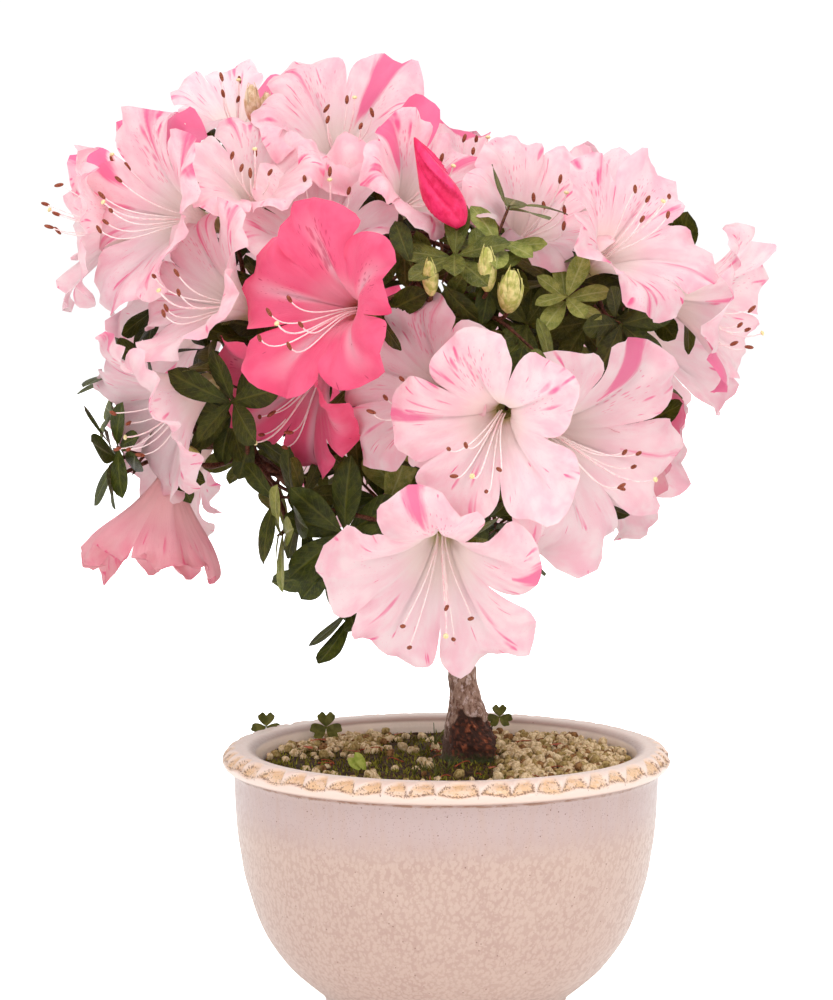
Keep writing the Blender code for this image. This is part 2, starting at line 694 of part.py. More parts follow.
def make_pot(collection, material, cutters):
    """The pot, with drain holes through its floor."""
    shell = Shell()
    rings = []
    for (radius, z), share in zip(RIM_OUTLINE, RIM_MARK_SHARE):
        points = []
        for k in range(RIM_COLUMNS):
            angle = math.tau * k / RIM_COLUMNS
            mark = math.cos(angle * RIM_MARKS) * share * RIM_MARK_DEPTH / 2
            points.append(((radius + mark) * math.cos(angle), (radius + mark) * math.sin(angle), z))
        rings.append(shell.ring(points))
    body = []
    for radius, z in BODY_OUTLINE + WALL_OUTLINE:
        points = []
        for k in range(BODY_COLUMNS):
            angle = math.tau * k / BODY_COLUMNS
            points.append((radius * math.cos(angle), radius * math.sin(angle), z))
        body.append(shell.ring(points))
    outside = [*rings, *body[: len(BODY_OUTLINE)]]
    inside = [rings[0], *body[len(BODY_OUTLINE):]]
    for chain in (outside, inside):
        for upper, lower in zip(chain, chain[1:]):
            shell.bridge(upper, lower)
    shell.faces.append(tuple(outside[-1]))
    shell.fan(inside[-1], (0, 0, FLOOR_HEIGHT))
    pot = add_object("pot", shell.mesh("pot"), collection, material)
    for i in range(DRAINS):
        angle = math.tau * (i / DRAINS + 0.25)
        bpy.ops.mesh.primitive_cylinder_add(
            vertices=12,
            radius=DRAIN_RADIUS * MM,
            depth=DRAIN_CUT * MM,
            location=(DRAIN_REACH * MM * math.cos(angle), DRAIN_REACH * MM * math.sin(angle), 0),
        )
        cutter = bpy.context.object
        cutter.name = f"drain_cutter_{i}"
        for used in list(cutter.users_collection):
            used.objects.unlink(cutter)
        cutters.objects.link(cutter)
        cutter.hide_render = True
        cutter.display_type = "WIRE"
        cut = pot.modifiers.new(f"drain {i}", "BOOLEAN")
        cut.operation = "DIFFERENCE"
        cut.object = cutter
    return pot


def make_soil(collection, material):
    """The soil that fills the pot, clear of its wall, with a gently uneven top."""
    chance = random.Random(f"{SEED} soil")
    shell = Shell()

    def ring(radius, z, bump=0.0, right=0.0):
        points = []
        for k in range(SOIL_COLUMNS):
            angle = math.tau * k / SOIL_COLUMNS
            height = z + chance.uniform(-bump, bump)
            points.append((right + radius * math.cos(angle), radius * math.sin(angle), height))
        return shell.ring(points)

    rings = [ring(radius, z, bump, right) for radius, right, z, bump in SOIL_RINGS]
    rings.append(ring(WALL_OUTLINE[0][0] - 1.0, SOIL_TOP + 0.8))
    for radius, z in WALL_OUTLINE[1:]:
        rings.append(ring(radius - 1.2, z + 0.6 * (z < 60)))
    for upper, lower in zip(rings, rings[1:]):
        shell.bridge(upper, lower)
    shell.fan(rings[0], (SOIL_RINGS[0][1], 0, SOIL_TOP))
    shell.fan(rings[-1], (0, 0, FLOOR_HEIGHT + CLEAR))
    return add_object("soil", shell.mesh("soil"), collection, material)


def make_limbs(collection, cutters, material):
    """The trunk and the boughs, each bough cut clear of the limb that carries it."""
    add_object("trunk", limb_shell("trunk").mesh("trunk"), collection, material)
    for name, row in BOUGHS.items():
        bough = add_object(name, limb_shell(name).mesh(name), collection, material)
        cutter_name = f"{row[0]}_clearance"
        cutter = bpy.data.objects.get(cutter_name)
        if cutter is None:
            mesh = limb_shell(row[0], more=CLEAR + 0.4).mesh(cutter_name)
            cutter = add_object(cutter_name, mesh, cutters, None)
            cutter.hide_render = True
            cutter.display_type = "WIRE"
        cut = bough.modifiers.new("clear of its parent", "BOOLEAN")
        cut.operation = "DIFFERENCE"
        cut.object = cutter


def main():
    for obj in list(bpy.data.objects):
        bpy.data.objects.remove(obj)
    materials = {}
    for name, (colour, roughness) in COLOURS.items():
        material = bpy.data.materials.new(name)
        material.use_nodes = True
        shader = material.node_tree.nodes["Principled BSDF"]
        shader.inputs["Base Color"].default_value = (*colour, 1.0)
        shader.inputs["Roughness"].default_value = roughness
        shader.inputs["Metallic"].default_value = 0.0
        materials[name] = material
    plant = new_collection("azalea_bonsai")
    cutters = new_collection("cutters")
    make_pot(plant, materials["glaze"], cutters)
    make_soil(plant, materials["soil"])
    make_limbs(plant, cutters, materials["bark"])
    crown = grow_crown()
    for mass, shells in crown.pieces.items():
        fuse(mass, shells, plant, materials["bloom"])
    print("leaves:", crown.leaves)
    for name in crown.left_out:
        print("no room:", name)


if __name__ == "__main__":
    main()
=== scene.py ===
"""The looks of the azalea bonsai: bark, twigs, leaves, blooms, glazed pot and soil.

World frame as in the part's source: +Z up, +X to the right of the front view, +Y
away from the viewer, and the origin at the centre of the pot's flat underside.
Every length in the tables is in millimetres, and becomes metres when a mesh is
made. A direction is told by its turn from the front (0 looks at the viewer, 90 to
the right, 180 to the back) and its rise above level.
"""

import math
import random

import bpy
import numpy as np
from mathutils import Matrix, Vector, noise
from mathutils.bvhtree import BVHTree


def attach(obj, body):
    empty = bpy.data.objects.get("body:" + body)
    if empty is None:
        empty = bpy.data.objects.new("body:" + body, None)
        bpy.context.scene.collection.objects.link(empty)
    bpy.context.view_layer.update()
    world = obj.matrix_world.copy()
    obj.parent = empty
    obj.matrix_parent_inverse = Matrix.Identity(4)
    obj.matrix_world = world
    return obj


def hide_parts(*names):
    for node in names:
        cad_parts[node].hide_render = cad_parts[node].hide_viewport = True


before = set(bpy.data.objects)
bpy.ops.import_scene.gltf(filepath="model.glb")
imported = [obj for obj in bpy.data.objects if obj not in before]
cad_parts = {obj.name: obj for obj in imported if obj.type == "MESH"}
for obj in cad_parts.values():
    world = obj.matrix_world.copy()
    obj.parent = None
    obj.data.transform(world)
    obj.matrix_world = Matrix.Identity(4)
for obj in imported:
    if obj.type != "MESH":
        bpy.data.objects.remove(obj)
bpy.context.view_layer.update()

MM = 0.001
SEED = 27
# The noise that bends the burl's knobs has a seed of its own.
NOISE_SEED = 7
BODY = "root"
# How far the stem of a mass stands off its limb.
CLEAR = 0.3

# Trunk: height, sideways place and radius at each station, from the flat cut up.
TRUNK_SIDES = 12
TRUNK = [
    (95.4, 8.2, 0.0, 9.7), (99.0, 8.3, 0.0, 9.2), (104.0, 8.1, 0.0, 8.9),
    (109.5, 7.8, 0.0, 8.4), (115.0, 7.9, 0.0, 7.6), (121.0, 7.2, 0.0, 6.2),
    (133.0, 5.9, 0.4, 5.5), (150.0, 3.6, 1.6, 5.5), (170.0, 1.0, 2.6, 5.2),
    (190.0, -1.6, 2.0, 4.8), (210.0, -4.6, 0.4, 4.2), (232.0, -7.0, 1.4, 3.4),
    (252.0, -6.0, 3.0, 2.5),
]
FLARE_LOBES = 5
FLARE_TURN = 40
FLARE_DEPTH = 0.13
FLARE_TOP = 112.0
BURL_HEIGHT = 104.0
BURL_TURN = 128.0
BURL_RISE = 3.4
BURL_SPREAD = 6.0

# Boughs: parent, how far up it, the tip, radius at each end, and the sideways bow.
BOUGH_SIDES = 6
BOUGH_STEPS = 4
BOUGHS = {
    "bough_low_left": ("trunk", 0.60, (-58, -14, 203), 3.3, 1.9, (0, -3, -7)),
    "bough_low_right": ("trunk", 0.69, (40, -24, 207), 3.0, 1.8, (2, 3, -6)),
    "bough_low_front": ("trunk", 0.63, (-8, -46, 190), 2.8, 1.8, (4, 2, -5)),
    "bough_low_back": ("trunk", 0.66, (14, 52, 204), 3.0, 1.8, (3, -4, -6)),
    "bough_left": ("trunk", 0.74, (-58, -8, 250), 2.9, 1.7, (0, 4, -6)),
    "bough_front": ("trunk", 0.78, (4, -44, 230), 2.6, 1.7, (-3, 0, -5)),
    "bough_right": ("trunk", 0.85, (44, 2, 262), 2.8, 1.7, (2, 3, -6)),
    "bough_back_left": ("trunk", 0.82, (-48, 48, 250), 2.8, 1.7, (-2, -3, -5)),
    "bough_front_left": ("trunk", 0.88, (-36, -34, 258), 2.4, 1.6, (2, 2, -5)),
    "bough_back_right": ("trunk", 0.91, (34, 46, 262), 2.4, 1.6, (2, -2, -4)),
    "bough_top_left": ("trunk", 0.95, (-58, 0, 292), 2.1, 1.5, (-2, 2, 3)),
    "bough_top_front": ("trunk", 0.98, (-14, -28, 284), 1.9, 1.4, (0, -3, 0)),
}

# Masses: the limb they start from, the middle of their space and its reach.
MASSES = {
    "mass_front": ("bough_front", (14, -64, 226), 62),
    "mass_low_front": ("bough_low_front", (-16, -60, 180), 62),
    "mass_front_left": ("bough_front_left", (-42, -56, 256), 60),
    "mass_low_left": ("bough_low_left", (-84, -12, 216), 76),
    "mass_left": ("bough_left", (-86, -18, 268), 62),
    "mass_top_left": ("bough_top_left", (-72, 2, 306), 60),
    "mass_top": ("trunk", (-22, 6, 292), 62),
    "mass_top_front": ("bough_top_front", (-20, -46, 296), 74),
    "mass_top_right": ("bough_right", (52, -14, 276), 66),
    "mass_low_right": ("bough_low_right", (58, -26, 222), 58),
    "mass_back_left": ("bough_back_left", (-58, 62, 256), 62),
    "mass_back_right": ("bough_back_right", (44, 60, 266), 62),
    "mass_low_back": ("bough_low_back", (10, 66, 210), 62),
}

# Blooms: mass, place of the throat, turn, rise, span, roll, openness and colour.
BLOOMS = {
    "front_star": ("mass_front", (16, -100, 232), -16, -12, 71, 8, 1.0, "pale"),
    "front_right": ("mass_front", (40, -66, 224), 40, -12, 84, -20, 1.0, "pale"),
    "front_inner": ("mass_front", (-4, -67, 240), -34, 8, 71, 20, 0.95, "pale"),
    "front_low": ("mass_low_front", (-3, -86, 185), -4, -35, 82, 18, 0.9, "pale"),
    "rose_upper": ("mass_front_left", (-37, -84, 270), -36, 8, 71, 11, 0.95, "rose"),
    "rose_lower": ("mass_front_left", (-49, -47, 243), -46, -32, 68, -18, 0.85, "rose"),
    "left_mid": ("mass_left", (-79, -55, 272), -54, 22, 68, -12, 0.9, "pale"),
    "left_far": ("mass_left", (-123, -4, 298), -80, 2, 66, 6, 0.9, "pale"),
    "left_upper": ("mass_left", (-97, -32, 302), -54, 10, 76, 4, 1.0, "streaked"),
    "left_low": ("mass_low_left", (-95, -43, 237), -68, -28, 76, 10, 0.85, "pale"),
    # This bloom's blush petal is partly painted shade, as it hangs in the crown's shade.
    "left_hanging": ("mass_low_left", (-105, -20, 198), -60, -76, 70, 24, 0.3, "blush"),
    "top_left_back": ("mass_left", (-109, 8, 314), -40, 34, 62, -12, 0.9, "streaked"),
    "top_left_pale": ("mass_top_front", (-70, -38, 310), -2, 46, 59, 14, 0.85, "pale"),
    "top_left_rear": ("mass_top_left", (-80, 23, 337), -2, 58, 58, 14, 0.85, "pale"),
    "top_centre": ("mass_top_front", (-40, -14, 328), 8, 44, 72, -8, 0.9, "streaked"),
    "upper_wide": ("mass_top_front", (-46, -44, 293), -6, 44, 68, 50, 0.9, "pale"),
    "top_streaked": ("mass_top_front", (-14, -46, 308), 36, 36, 58, 8, 0.8, "streaked"),
    "top_mid": ("mass_top", (6, -4, 312), 22, 56, 61, 22, 0.85, "streaked"),
    "top_right_mid": ("mass_top_right", (28, -37, 297), 28, 40, 66, 4, 0.85, "pale"),
    "top_right": ("mass_top_right", (56, -9, 297), 22, 46, 62, 22, 0.9, "streaked"),
    "right_wide": ("mass_top_right", (58, -53, 289), 42, 28, 67, -12, 1.0, "streaked"),
    "right_side": ("mass_top_right", (90, -18, 271), 74, -8, 74, 4, 0.8, "pale"),
    # This bloom's blush petal is partly painted shade, as it sits behind others in the crown's
    # shade.
    "right_behind": ("mass_low_right", (58, -26, 226), 54, 2, 68, 30, 0.85, "blush"),
    "right_low": ("mass_low_right", (60, 8, 214), 112, -22, 68, 10, 0.85, "pale"),
    "back_right_high": ("mass_back_right", (52, 44, 294), 140, 36, 72, 0, 0.9, "pale"),
    "back_right_side": ("mass_back_right", (78, 34, 258), 112, 2, 74, 24, 0.9, "pale"),
    "back_right_mid": ("mass_back_right", (40, 84, 262), 162, 4, 74, 40, 0.9, "streaked"),
    "back_high": ("mass_top", (-14, 44, 309), 168, 50, 70, 10, 0.9, "pale"),
    "back_left_high": ("mass_back_left", (-62, 54, 300), -150, 34, 72, 50, 0.9, "pale"),
    "back_left_mid": ("mass_back_left", (-44, 90, 258), -168, 0, 74, 16, 0.9, "rose"),
    "back_left_side": ("mass_back_left", (-96, 49, 263), -122, -2, 72, 34, 0.9, "pale"),
    "back_low_left": ("mass_low_back", (-27, 76, 214), -164, -30, 72, 0, 0.85, "pale"),
    "back_low_right": ("mass_low_back", (34, 70, 208), 146, -28, 72, 20, 0.85, "pale"),
    "left_low_back": ("mass_low_left", (-96, 27, 216), -112, -32, 70, 40, 0.85, "pale"),
}

# Broad hot pink bands: bloom and lobe, the band's middle across the lobe from -1
# to 1, its half width, and how far out of the throat it starts.
WHOLE_LOBE = 1.6
BANDS = {
    ("front_star", 0): (0.02, 0.11, 0.46),
    ("front_right", 2): (-0.30, 0.20, 0.42),
    ("front_right", 3): (-0.25, 0.05, 0.45),
    ("front_right", 4): (0.92, 0.12, 0.60),
    ("front_inner", 0): (0.95, 0.22, 0.50),
    ("front_inner", 1): (0.30, 0.05, 0.50),
    ("front_inner", 4): (0.60, 0.10, 0.72),
    ("front_low", 1): (-0.20, 0.13, 0.55),
    ("front_low", 2): (0.35, 0.20, 0.62),
    ("left_mid", 1): (0.15, 0.08, 0.40),
    ("left_mid", 2): (-0.20, 0.07, 0.42),
    ("left_upper", 0): (0.55, 0.14, 0.55),
    ("left_upper", 2): (-0.30, 0.09, 0.40),
    ("left_upper", 1): (0.20, 0.07, 0.42),
    ("left_low", 1): (0.20, 0.26, 0.66),
    ("left_far", 0): (0.90, 0.40, 0.60),
    ("top_left_rear", 2): (0.0, WHOLE_LOBE, 0.40),
    ("top_left_rear", 3): (0.0, WHOLE_LOBE, 0.40),
    ("top_left_back", 2): (0.0, WHOLE_LOBE, 0.40),
    ("top_left_back", 0): (0.50, 0.40, 0.55),
    ("top_left_back", 1): (-0.30, 0.14, 0.40),
    ("top_left_pale", 1): (-0.40, 0.06, 0.50),
    ("top_centre", 2): (-0.20, 0.24, 0.30),
    ("top_centre", 3): (0.0, WHOLE_LOBE, 0.42),
    ("top_streaked", 1): (-0.35, 0.32, 0.30),
    ("top_streaked", 2): (0.20, 0.16, 0.30),
    ("top_mid", 1): (0.30, 1.10, 0.62),
    ("upper_wide", 0): (0.60, 0.22, 0.55),
    ("top_right", 1): (0.10, 0.10, 0.55),
    ("right_wide", 4): (0.20, 0.08, 0.40),
    ("right_wide", 0): (-0.40, 0.08, 0.45),
    ("right_wide", 3): (0.30, 0.06, 0.40),
    ("right_side", 0): (0.10, 0.09, 0.40),
    ("right_side", 4): (0.30, 0.60, 0.46),
    ("right_behind", 2): (0.0, WHOLE_LOBE, 0.50),
    ("right_behind", 3): (0.4, 0.4, 0.50),
    ("back_right_mid", 1): (0.0, WHOLE_LOBE, 0.45),
    ("back_left_side", 3): (0.3, 0.4, 0.50),
    ("back_high", 2): (-0.3, 0.2, 0.45),
}

# Whorls of leaves at a shoot's end: mass, place, turn, rise, leaves and length.
WHORLS = [
    ("mass_top_front", (2, -76, 289), -10, 44, 8, 20),
    ("mass_top_front", (18, -72, 293), 14, 50, 8, 18),
    ("mass_top_front", (-6, -64, 280), -30, 0, 6, 18),
    ("mass_top_right", (42, -66, 274), 10, 36, 8, 16),
    ("mass_top_right", (60, -58, 266), 40, 4, 6, 19),
    ("mass_top_right", (28, -58, 264), -10, 10, 6, 17),
    ("mass_front", (30, -50, 258), 20, 40, 6, 17),
    ("mass_front", (18, -44, 188), 20, -56, 6, 22),
    ("mass_front", (32, -36, 186), 50, -60, 5, 20),
    ("mass_low_left", (-80, -33, 230), -30, -6, 7, 23),
    ("mass_low_left", (-72, -30, 222), -10, -30, 6, 22),
    ("mass_low_left", (-124, -14, 213), -84, -4, 8, 24),
    ("mass_low_left", (-126, -10, 229), -86, 10, 6, 21),
    ("mass_low_left", (-66, 14, 200), -100, -40, 6, 24),
    ("mass_low_front", (-38, -50, 188), -20, 0, 8, 27),
    ("mass_low_front", (-56, -42, 196), -64, -8, 7, 25),
    ("mass_low_front", (-44, -44, 174), -34, -44, 7, 25),
    ("mass_low_front", (-22, -52, 198), 10, 24, 6, 22),
    ("mass_front_left", (-66, -50, 262), -40, 16, 6, 25),
    ("mass_front_left", (-60, -36, 222), -30, -40, 6, 23),
    ("mass_low_right", (36, -10, 190), 60, -50, 6, 24),
    ("mass_low_right", (72, -20, 242), 70, 40, 6, 24),
    ("mass_left", (-112, -30, 252), -80, -20, 5, 24),
    ("mass_left", (-96, 8, 292), -90, 30, 5, 24),
    ("mass_top_left", (-60, 30, 318), -160, 60, 6, 24),
    ("mass_top", (-30, 18, 332), 0, 80, 6, 24),
    ("mass_top", (20, 24, 314), 100, 60, 6, 24),
    ("mass_back_right", (66, 62, 284), 130, 20, 6, 24),
    ("mass_back_right", (16, 74, 290), 170, 30, 6, 24),
    ("mass_back_left", (-72, 78, 244), -140, -10, 6, 24),
    ("mass_back_left", (-14, 80, 286), 170, 30, 6, 24),
    ("mass_low_back", (0, 84, 236), 178, 10, 6, 24),
    ("mass_low_back", (6, 52, 184), 178, -60, 6, 24),
    ("mass_top_right", (86, 10, 284), 100, 30, 6, 24),
]

# Buds that are still shut: mass, place of the tip, turn, rise, length and width.
BUDS = [
    ("mass_top_front", (-12, -76, 329), -83, 62, 35, 10),
    ("mass_top_front", (22, -86, 284), 10, 66, 17, 8),
    ("mass_top_front", (13, -85, 292), -6, 74, 17, 6),
    ("mass_top_front", (-7, -85, 287), -10, 66, 14, 5),
]

# A bloom's funnel along its length: share from foot to tip, radius and depth
# as shares of half its span.
FUNNEL = [
    (0.00, 0.07, 0.00), (0.22, 0.12, 0.30), (0.40, 0.28, 0.56),
    (0.56, 0.46, 0.72), (0.80, 0.78, 0.90), (1.00, 1.00, 0.92),
]
LOBES = 5
NOTCH = 0.56
LOBE_SHOULDER = 0.8
LOBE_CURL = (-0.08, 0.06)
LOBE_WAVE = (-0.06, 0.06)
PETAL_THICK = 1.1
TUBE_THICK = 0.9
TUBE_SHARE = 0.22
MOUTH_POINTS = 20
THROAT_DEPTH = 0.45

# How much a bloom that isn't fully open draws in at its edge, and bulges before it.
CLOSING = 0.55
BELL = 1.3

# A mass's own stem, the twigs that leave its end, and the leaves they carry. A twig
# that would touch another piece is bent a little more at each try.
STEM_RADII = [1.5, 1.5, 1.3]
STEM_REACH = 14.0
STEM_START = 2.0
HUB_SUNK = 1.5
TWIG_RADIUS = 1.15
TWIG_TAPER = 0.25
TWIG_STEPS = 3
TWIG_SIDES = 3
TWIG_TRIES = 60
TWIG_SWAY = 0.05
GOLDEN_TURN = 137.5
LEAF_WIDTH = 0.38
LEAF_THICK = 0.9
LEAF_SUNK = 0.16
LEAF_SPREAD = (52, 78)
LEAF_SIZES = (0.82, 1.1)
LEAF_DROOPS = (0.05, 0.2)
LEAF_STEP = 0.55
BLOOM_LEAVES = 3
BLOOM_LEAF_LENGTH = 21
BLOOM_LEAF_SPREAD = (60, 95)
BLOOM_LEAF_BACK = 5
BLOOM_TWIG_END = 2.5
BUD_SEAT = 0.85


def along(turn, rise):
    """The direction that a turn from the front and a rise above level give."""
    turn = math.radians(turn)
    rise = math.radians(rise)
    level = math.cos(rise)
    return Vector((math.sin(turn) * level, -math.cos(turn) * level, math.sin(rise)))


def across(direction):
    """Two directions at right angles to this one and to each other."""
    helper = Vector((0, 0, 1)) if abs(direction.z) < 0.9 else Vector((1, 0, 0))
    side = direction.cross(helper).normalized()
    return side, side.cross(direction).normalized()


def ray_at(side, up, angle):
    """The direction at an angle from side towards up."""
    return side * math.cos(angle) + up * math.sin(angle)


def random_vector(chance, low=-1, high=1):
    return Vector([chance.uniform(low, high) for _ in range(3)])


def blend(table, share, column):
    """Reads a column of a table between its rows, where the first is the share."""
    for lower, upper in zip(table, table[1:]):
        if share <= upper[0]:
            part = (share - lower[0]) / (upper[0] - lower[0])
            return lower[column] + (upper[column] - lower[column]) * part
    return table[-1][column]


class Shell:
    """Points and faces of one plain piece, by which the rule of growth tests for room."""

    def __init__(self):
        self.points = []
        self.faces = []

    def ring(self, points):
        first = len(self.points)
        self.points.extend(Vector(point) for point in points)
        return list(range(first, len(self.points)))

    def bridge(self, coarse, fine):
        """Faces between two rings, where one may have a multiple of the other's points."""
        if len(coarse) > len(fine):
            coarse, fine = fine, coarse
        step = len(fine) // len(coarse)
        for i, near in enumerate(coarse):
            far = coarse[(i + 1) % len(coarse)]
            steps = [fine[(i * step + k) % len(fine)] for k in range(step + 1)]
            if step == 1:
                self.faces.append((near, far, steps[1], steps[0]))
                continue
            for k in range(step // 2):
                self.faces.append((near, steps[k + 1], steps[k]))
            self.faces.append((near, far, steps[step // 2]))
            for k in range(step // 2, step):
                self.faces.append((far, steps[k + 1], steps[k]))

    def fan(self, ring, point):
        pole = self.ring([point])[0]
        for i, near in enumerate(ring):
            self.faces.append((near, ring[(i + 1) % len(ring)], pole))

    def tree(self):
        return BVHTree.FromPolygons(self.points, self.faces)


def circle(centre, side, up, radii):
    """Points round a centre, one for each radius."""
    count = len(radii)
    return [
        centre + ray_at(side, up, math.tau * i / count) * radius
        for i, radius in enumerate(radii)
    ]


def tube(path, radii, sides, shape=None):
    """A closed tapering limb along a path; shape may change the radius round it."""
    shell = Shell()
    rings = []
    side = None
    for i, point in enumerate(path):
        ahead = path[min(i + 1, len(path) - 1)] - path[max(i - 1, 0)]
        ahead.normalize()
        if side is None:
            side, up = across(ahead)
        side = (side - ahead * side.dot(ahead)).normalized()
        up = side.cross(ahead)
        around = [radii[i] for _ in range(sides)]
        if shape:
            around = [shape(point.z, 360 * k / sides, radii[i]) for k in range(sides)]
        rings.append(shell.ring(circle(point, side, up, around)))
    for lower, upper in zip(rings, rings[1:]):
        shell.bridge(lower, upper)
    shell.faces.append(tuple(rings[0]))
    shell.faces.append(tuple(rings[-1]))
    return shell


def sweep(start, leave, arrive, end, steps):
    """Points of a smooth curve that leaves and arrives along given directions."""
    pull = (end - start).length * 0.38
    first = start + leave * pull
    last = end - arrive * pull
    points = []
    for i in range(steps + 1):
        t = i / steps
        s = 1 - t
        points.append(
            start * s ** 3 + first * 3 * s * s * t + last * 3 * s * t * t + end * t ** 3
        )
    return points


def bow(start, end, offset, steps):
    """Points of a limb from start to end that bows aside by an offset."""
    middle = (start + end) / 2 + Vector(offset) * 2
    points = []
    for i in range(steps + 1):
        t = i / steps
        s = 1 - t
        points.append(start * s * s + middle * 2 * s * t + end * t * t)
    return points


def trunk_path():
    return [Vector((x, y, z)) for z, x, y, _ in TRUNK]


def trunk_radius(z, degrees, radius):
    """The trunk's radius at a height and an angle: the root flare and the pruned burl."""
    flare = max(0.0, (FLARE_TOP - z) / (FLARE_TOP - TRUNK[0][0]))
    lobes = math.cos(math.radians(FLARE_LOBES * degrees + FLARE_TURN))
    radius *= 1 + FLARE_DEPTH * flare * lobes
    near = math.cos(math.radians(degrees - BURL_TURN))
    height = math.exp(-((z - BURL_HEIGHT) / BURL_SPREAD) ** 2)
    return radius + BURL_RISE * height * max(0.0, near) ** 3


def limb_path(name, steps=BOUGH_STEPS):
    """Points along a bough from its parent's middle, or along the trunk."""
    if name == "trunk":
        return trunk_path()
    parent, share, tip, _, _, offset = BOUGHS[name]
    path = limb_path(parent)
    place = share * (len(path) - 1)
    lower = path[int(place)]
    upper = path[min(int(place) + 1, len(path) - 1)]
    start = lower.lerp(upper, place - int(place))
    return bow(start, Vector(tip), offset, steps)


def limb_shell(name):
    """The trunk or a bough as a plain closed tube."""
    if name == "trunk":
        radii = [radius for _, _, _, radius in TRUNK]
        return tube(trunk_path(), radii, TRUNK_SIDES, trunk_radius)
    _, _, _, thick, thin, _ = BOUGHS[name]
    path = limb_path(name)
    radii = [thick + (thin - thick) * i / (len(path) - 1) for i in range(len(path))]
    return tube(path, radii, BOUGH_SIDES)


def stem_of(mass):
    """Where a mass's own stem starts, just past its limb's tip, and which way it goes."""
    path = limb_path(MASSES[mass][0])
    ahead = (path[-1] - path[-2]).normalized()
    return path[-1] + ahead * CLEAR, ahead


def bloom_frame(name):
    """The foot of a bloom and its axes: sideways, up and out of its throat."""
    _, throat, turn, rise, span, roll, _, _ = BLOOMS[name]
    out = along(turn, rise)
    side, up = across(out)
    angle = math.radians(roll)
    rolled_side = ray_at(side, up, angle)
    rolled_up = up * math.cos(angle) - side * math.sin(angle)
    foot = Vector(throat) - out * span / 2 * THROAT_DEPTH
    return foot, rolled_side, rolled_up, out


def lobe_edge(u):
    """How far along the funnel a lobe reaches, u running from -1 to 1 across it."""
    full = max(0.0, 1 - abs(u) ** 3.2) ** 0.5
    return NOTCH + (1 - NOTCH) * full


def bloom_shell(name):
    """The plain form of one bloom, a funnel of five lobes, for tests of room."""
    _, _, _, _, span, _, openness, _ = BLOOMS[name]
    chance = random.Random(f"{SEED} {name}")
    half = span / 2
    foot, side, up, out = bloom_frame(name)
    curls = [chance.uniform(*LOBE_CURL) for _ in range(LOBES)]
    waves = [chance.uniform(*LOBE_WAVE) for _ in range(LOBES * 2)]

    def place(degrees, share, lift):
        """A point on the funnel at an angle, a share of its length and a lift off it."""
        radius = blend(FUNNEL, share, 1) * half
        depth = blend(FUNNEL, share, 2) * half
        shut = (1 - openness) * share
        radius *= 1 - CLOSING * shut
        depth *= 1 + CLOSING * shut
        radius *= 1 + BELL * (1 - openness) ** 2 * math.sin(math.pi * share)
        ray = ray_at(side, up, math.radians(degrees))
        return foot + ray * (radius - lift * 0.75) + out * (depth + lift * 0.65)

    shell = Shell()
    edge = []
    for lobe in range(LOBES):
        middle = 360 * lobe / LOBES
        for k, u in enumerate((-1.0, -LOBE_SHOULDER, 0.0, LOBE_SHOULDER)):
            share = lobe_edge(u)
            lift = 0.0
            if u == 0.0:
                lift = curls[lobe] * half
            elif k in (1, 3):
                lift = (curls[lobe] * 0.6 + waves[lobe * 2 + (k == 3)]) * half
            edge.append(place(middle + u * 180 / LOBES, share, lift))
    rims = {}
    angles = [360 * k / MOUTH_POINTS - 180 / LOBES for k in range(MOUTH_POINTS)]
    for lift in (-0.5, 0.5):
        mouth = shell.ring([place(a, NOTCH, lift * PETAL_THICK) for a in angles])
        tube_ring = shell.ring([place(a, TUBE_SHARE, lift * TUBE_THICK) for a in angles[::4]])
        end = foot if lift < 0 else foot + out * half * 0.2
        shell.fan(tube_ring, end)
        shell.bridge(tube_ring, mouth)
        rims[lift] = mouth
    outer = shell.ring(edge)
    for mouth in rims.values():
        shell.bridge(mouth, outer)
    return shell


def leaf_axes(ahead, face):
    """A leaf's own directions: ahead, sideways and out of its upper face."""
    ahead = ahead.normalized()
    side = ahead.cross(face).normalized()
    return ahead, side, side.cross(ahead).normalized()


def leaf_shell(root, ahead, face, length, droop, skip=0.0):
    """The plain form of one leaf, for tests of room."""
    ahead, side, face = leaf_axes(ahead, face)
    half = length * LEAF_WIDTH / 2
    middle = root + ahead * length * 0.55 - face * droop * 0.35
    tip = root + ahead * length - face * droop
    shell = Shell()
    rim = shell.ring([
        root + ahead * length * skip, middle + side * half + face * 0.1 * half, tip,
        middle - side * half + face * 0.1 * half,
    ])
    shell.fan(rim, middle + face * LEAF_THICK * 0.3)
    shell.fan(rim, middle - face * LEAF_THICK * 0.7)
    return shell


def bud_shell(tip, out, length, width):
    """The plain form of a bud that is still shut, for tests of room."""
    side, up = across(out)
    foot = tip - out * length
    shell = Shell()
    rings = []
    for share, radius in ((0.3, 0.5), (0.65, 0.42)):
        radii = [radius * width for _ in range(5)]
        rings.append(shell.ring(circle(foot + out * length * share, side, up, radii)))
    shell.bridge(rings[0], rings[1])
    shell.fan(rings[0], foot)
    shell.fan(rings[1], tip)
    return shell


# Finer growth: side shoots leave each twig at these shares of its length, lean on along
# it and a little up, and are tested for room from a short way out.
SIDE_SHOOTS = (0.35, 0.55, 0.78)
SHOOT_STEPS = 20
SHOOT_LENGTH = (10.0, 24.0)
SHOOT_RADIUS = 0.7
SHOOT_AHEAD = 0.7
SHOOT_RISE = 0.25
SHOOT_SKIP = 1.5
SHOOT_LEAVES = 6
SHOOT_LEAF = (17.0, 24.0)
SHOOT_LEAF_SPREAD = (40, 80)

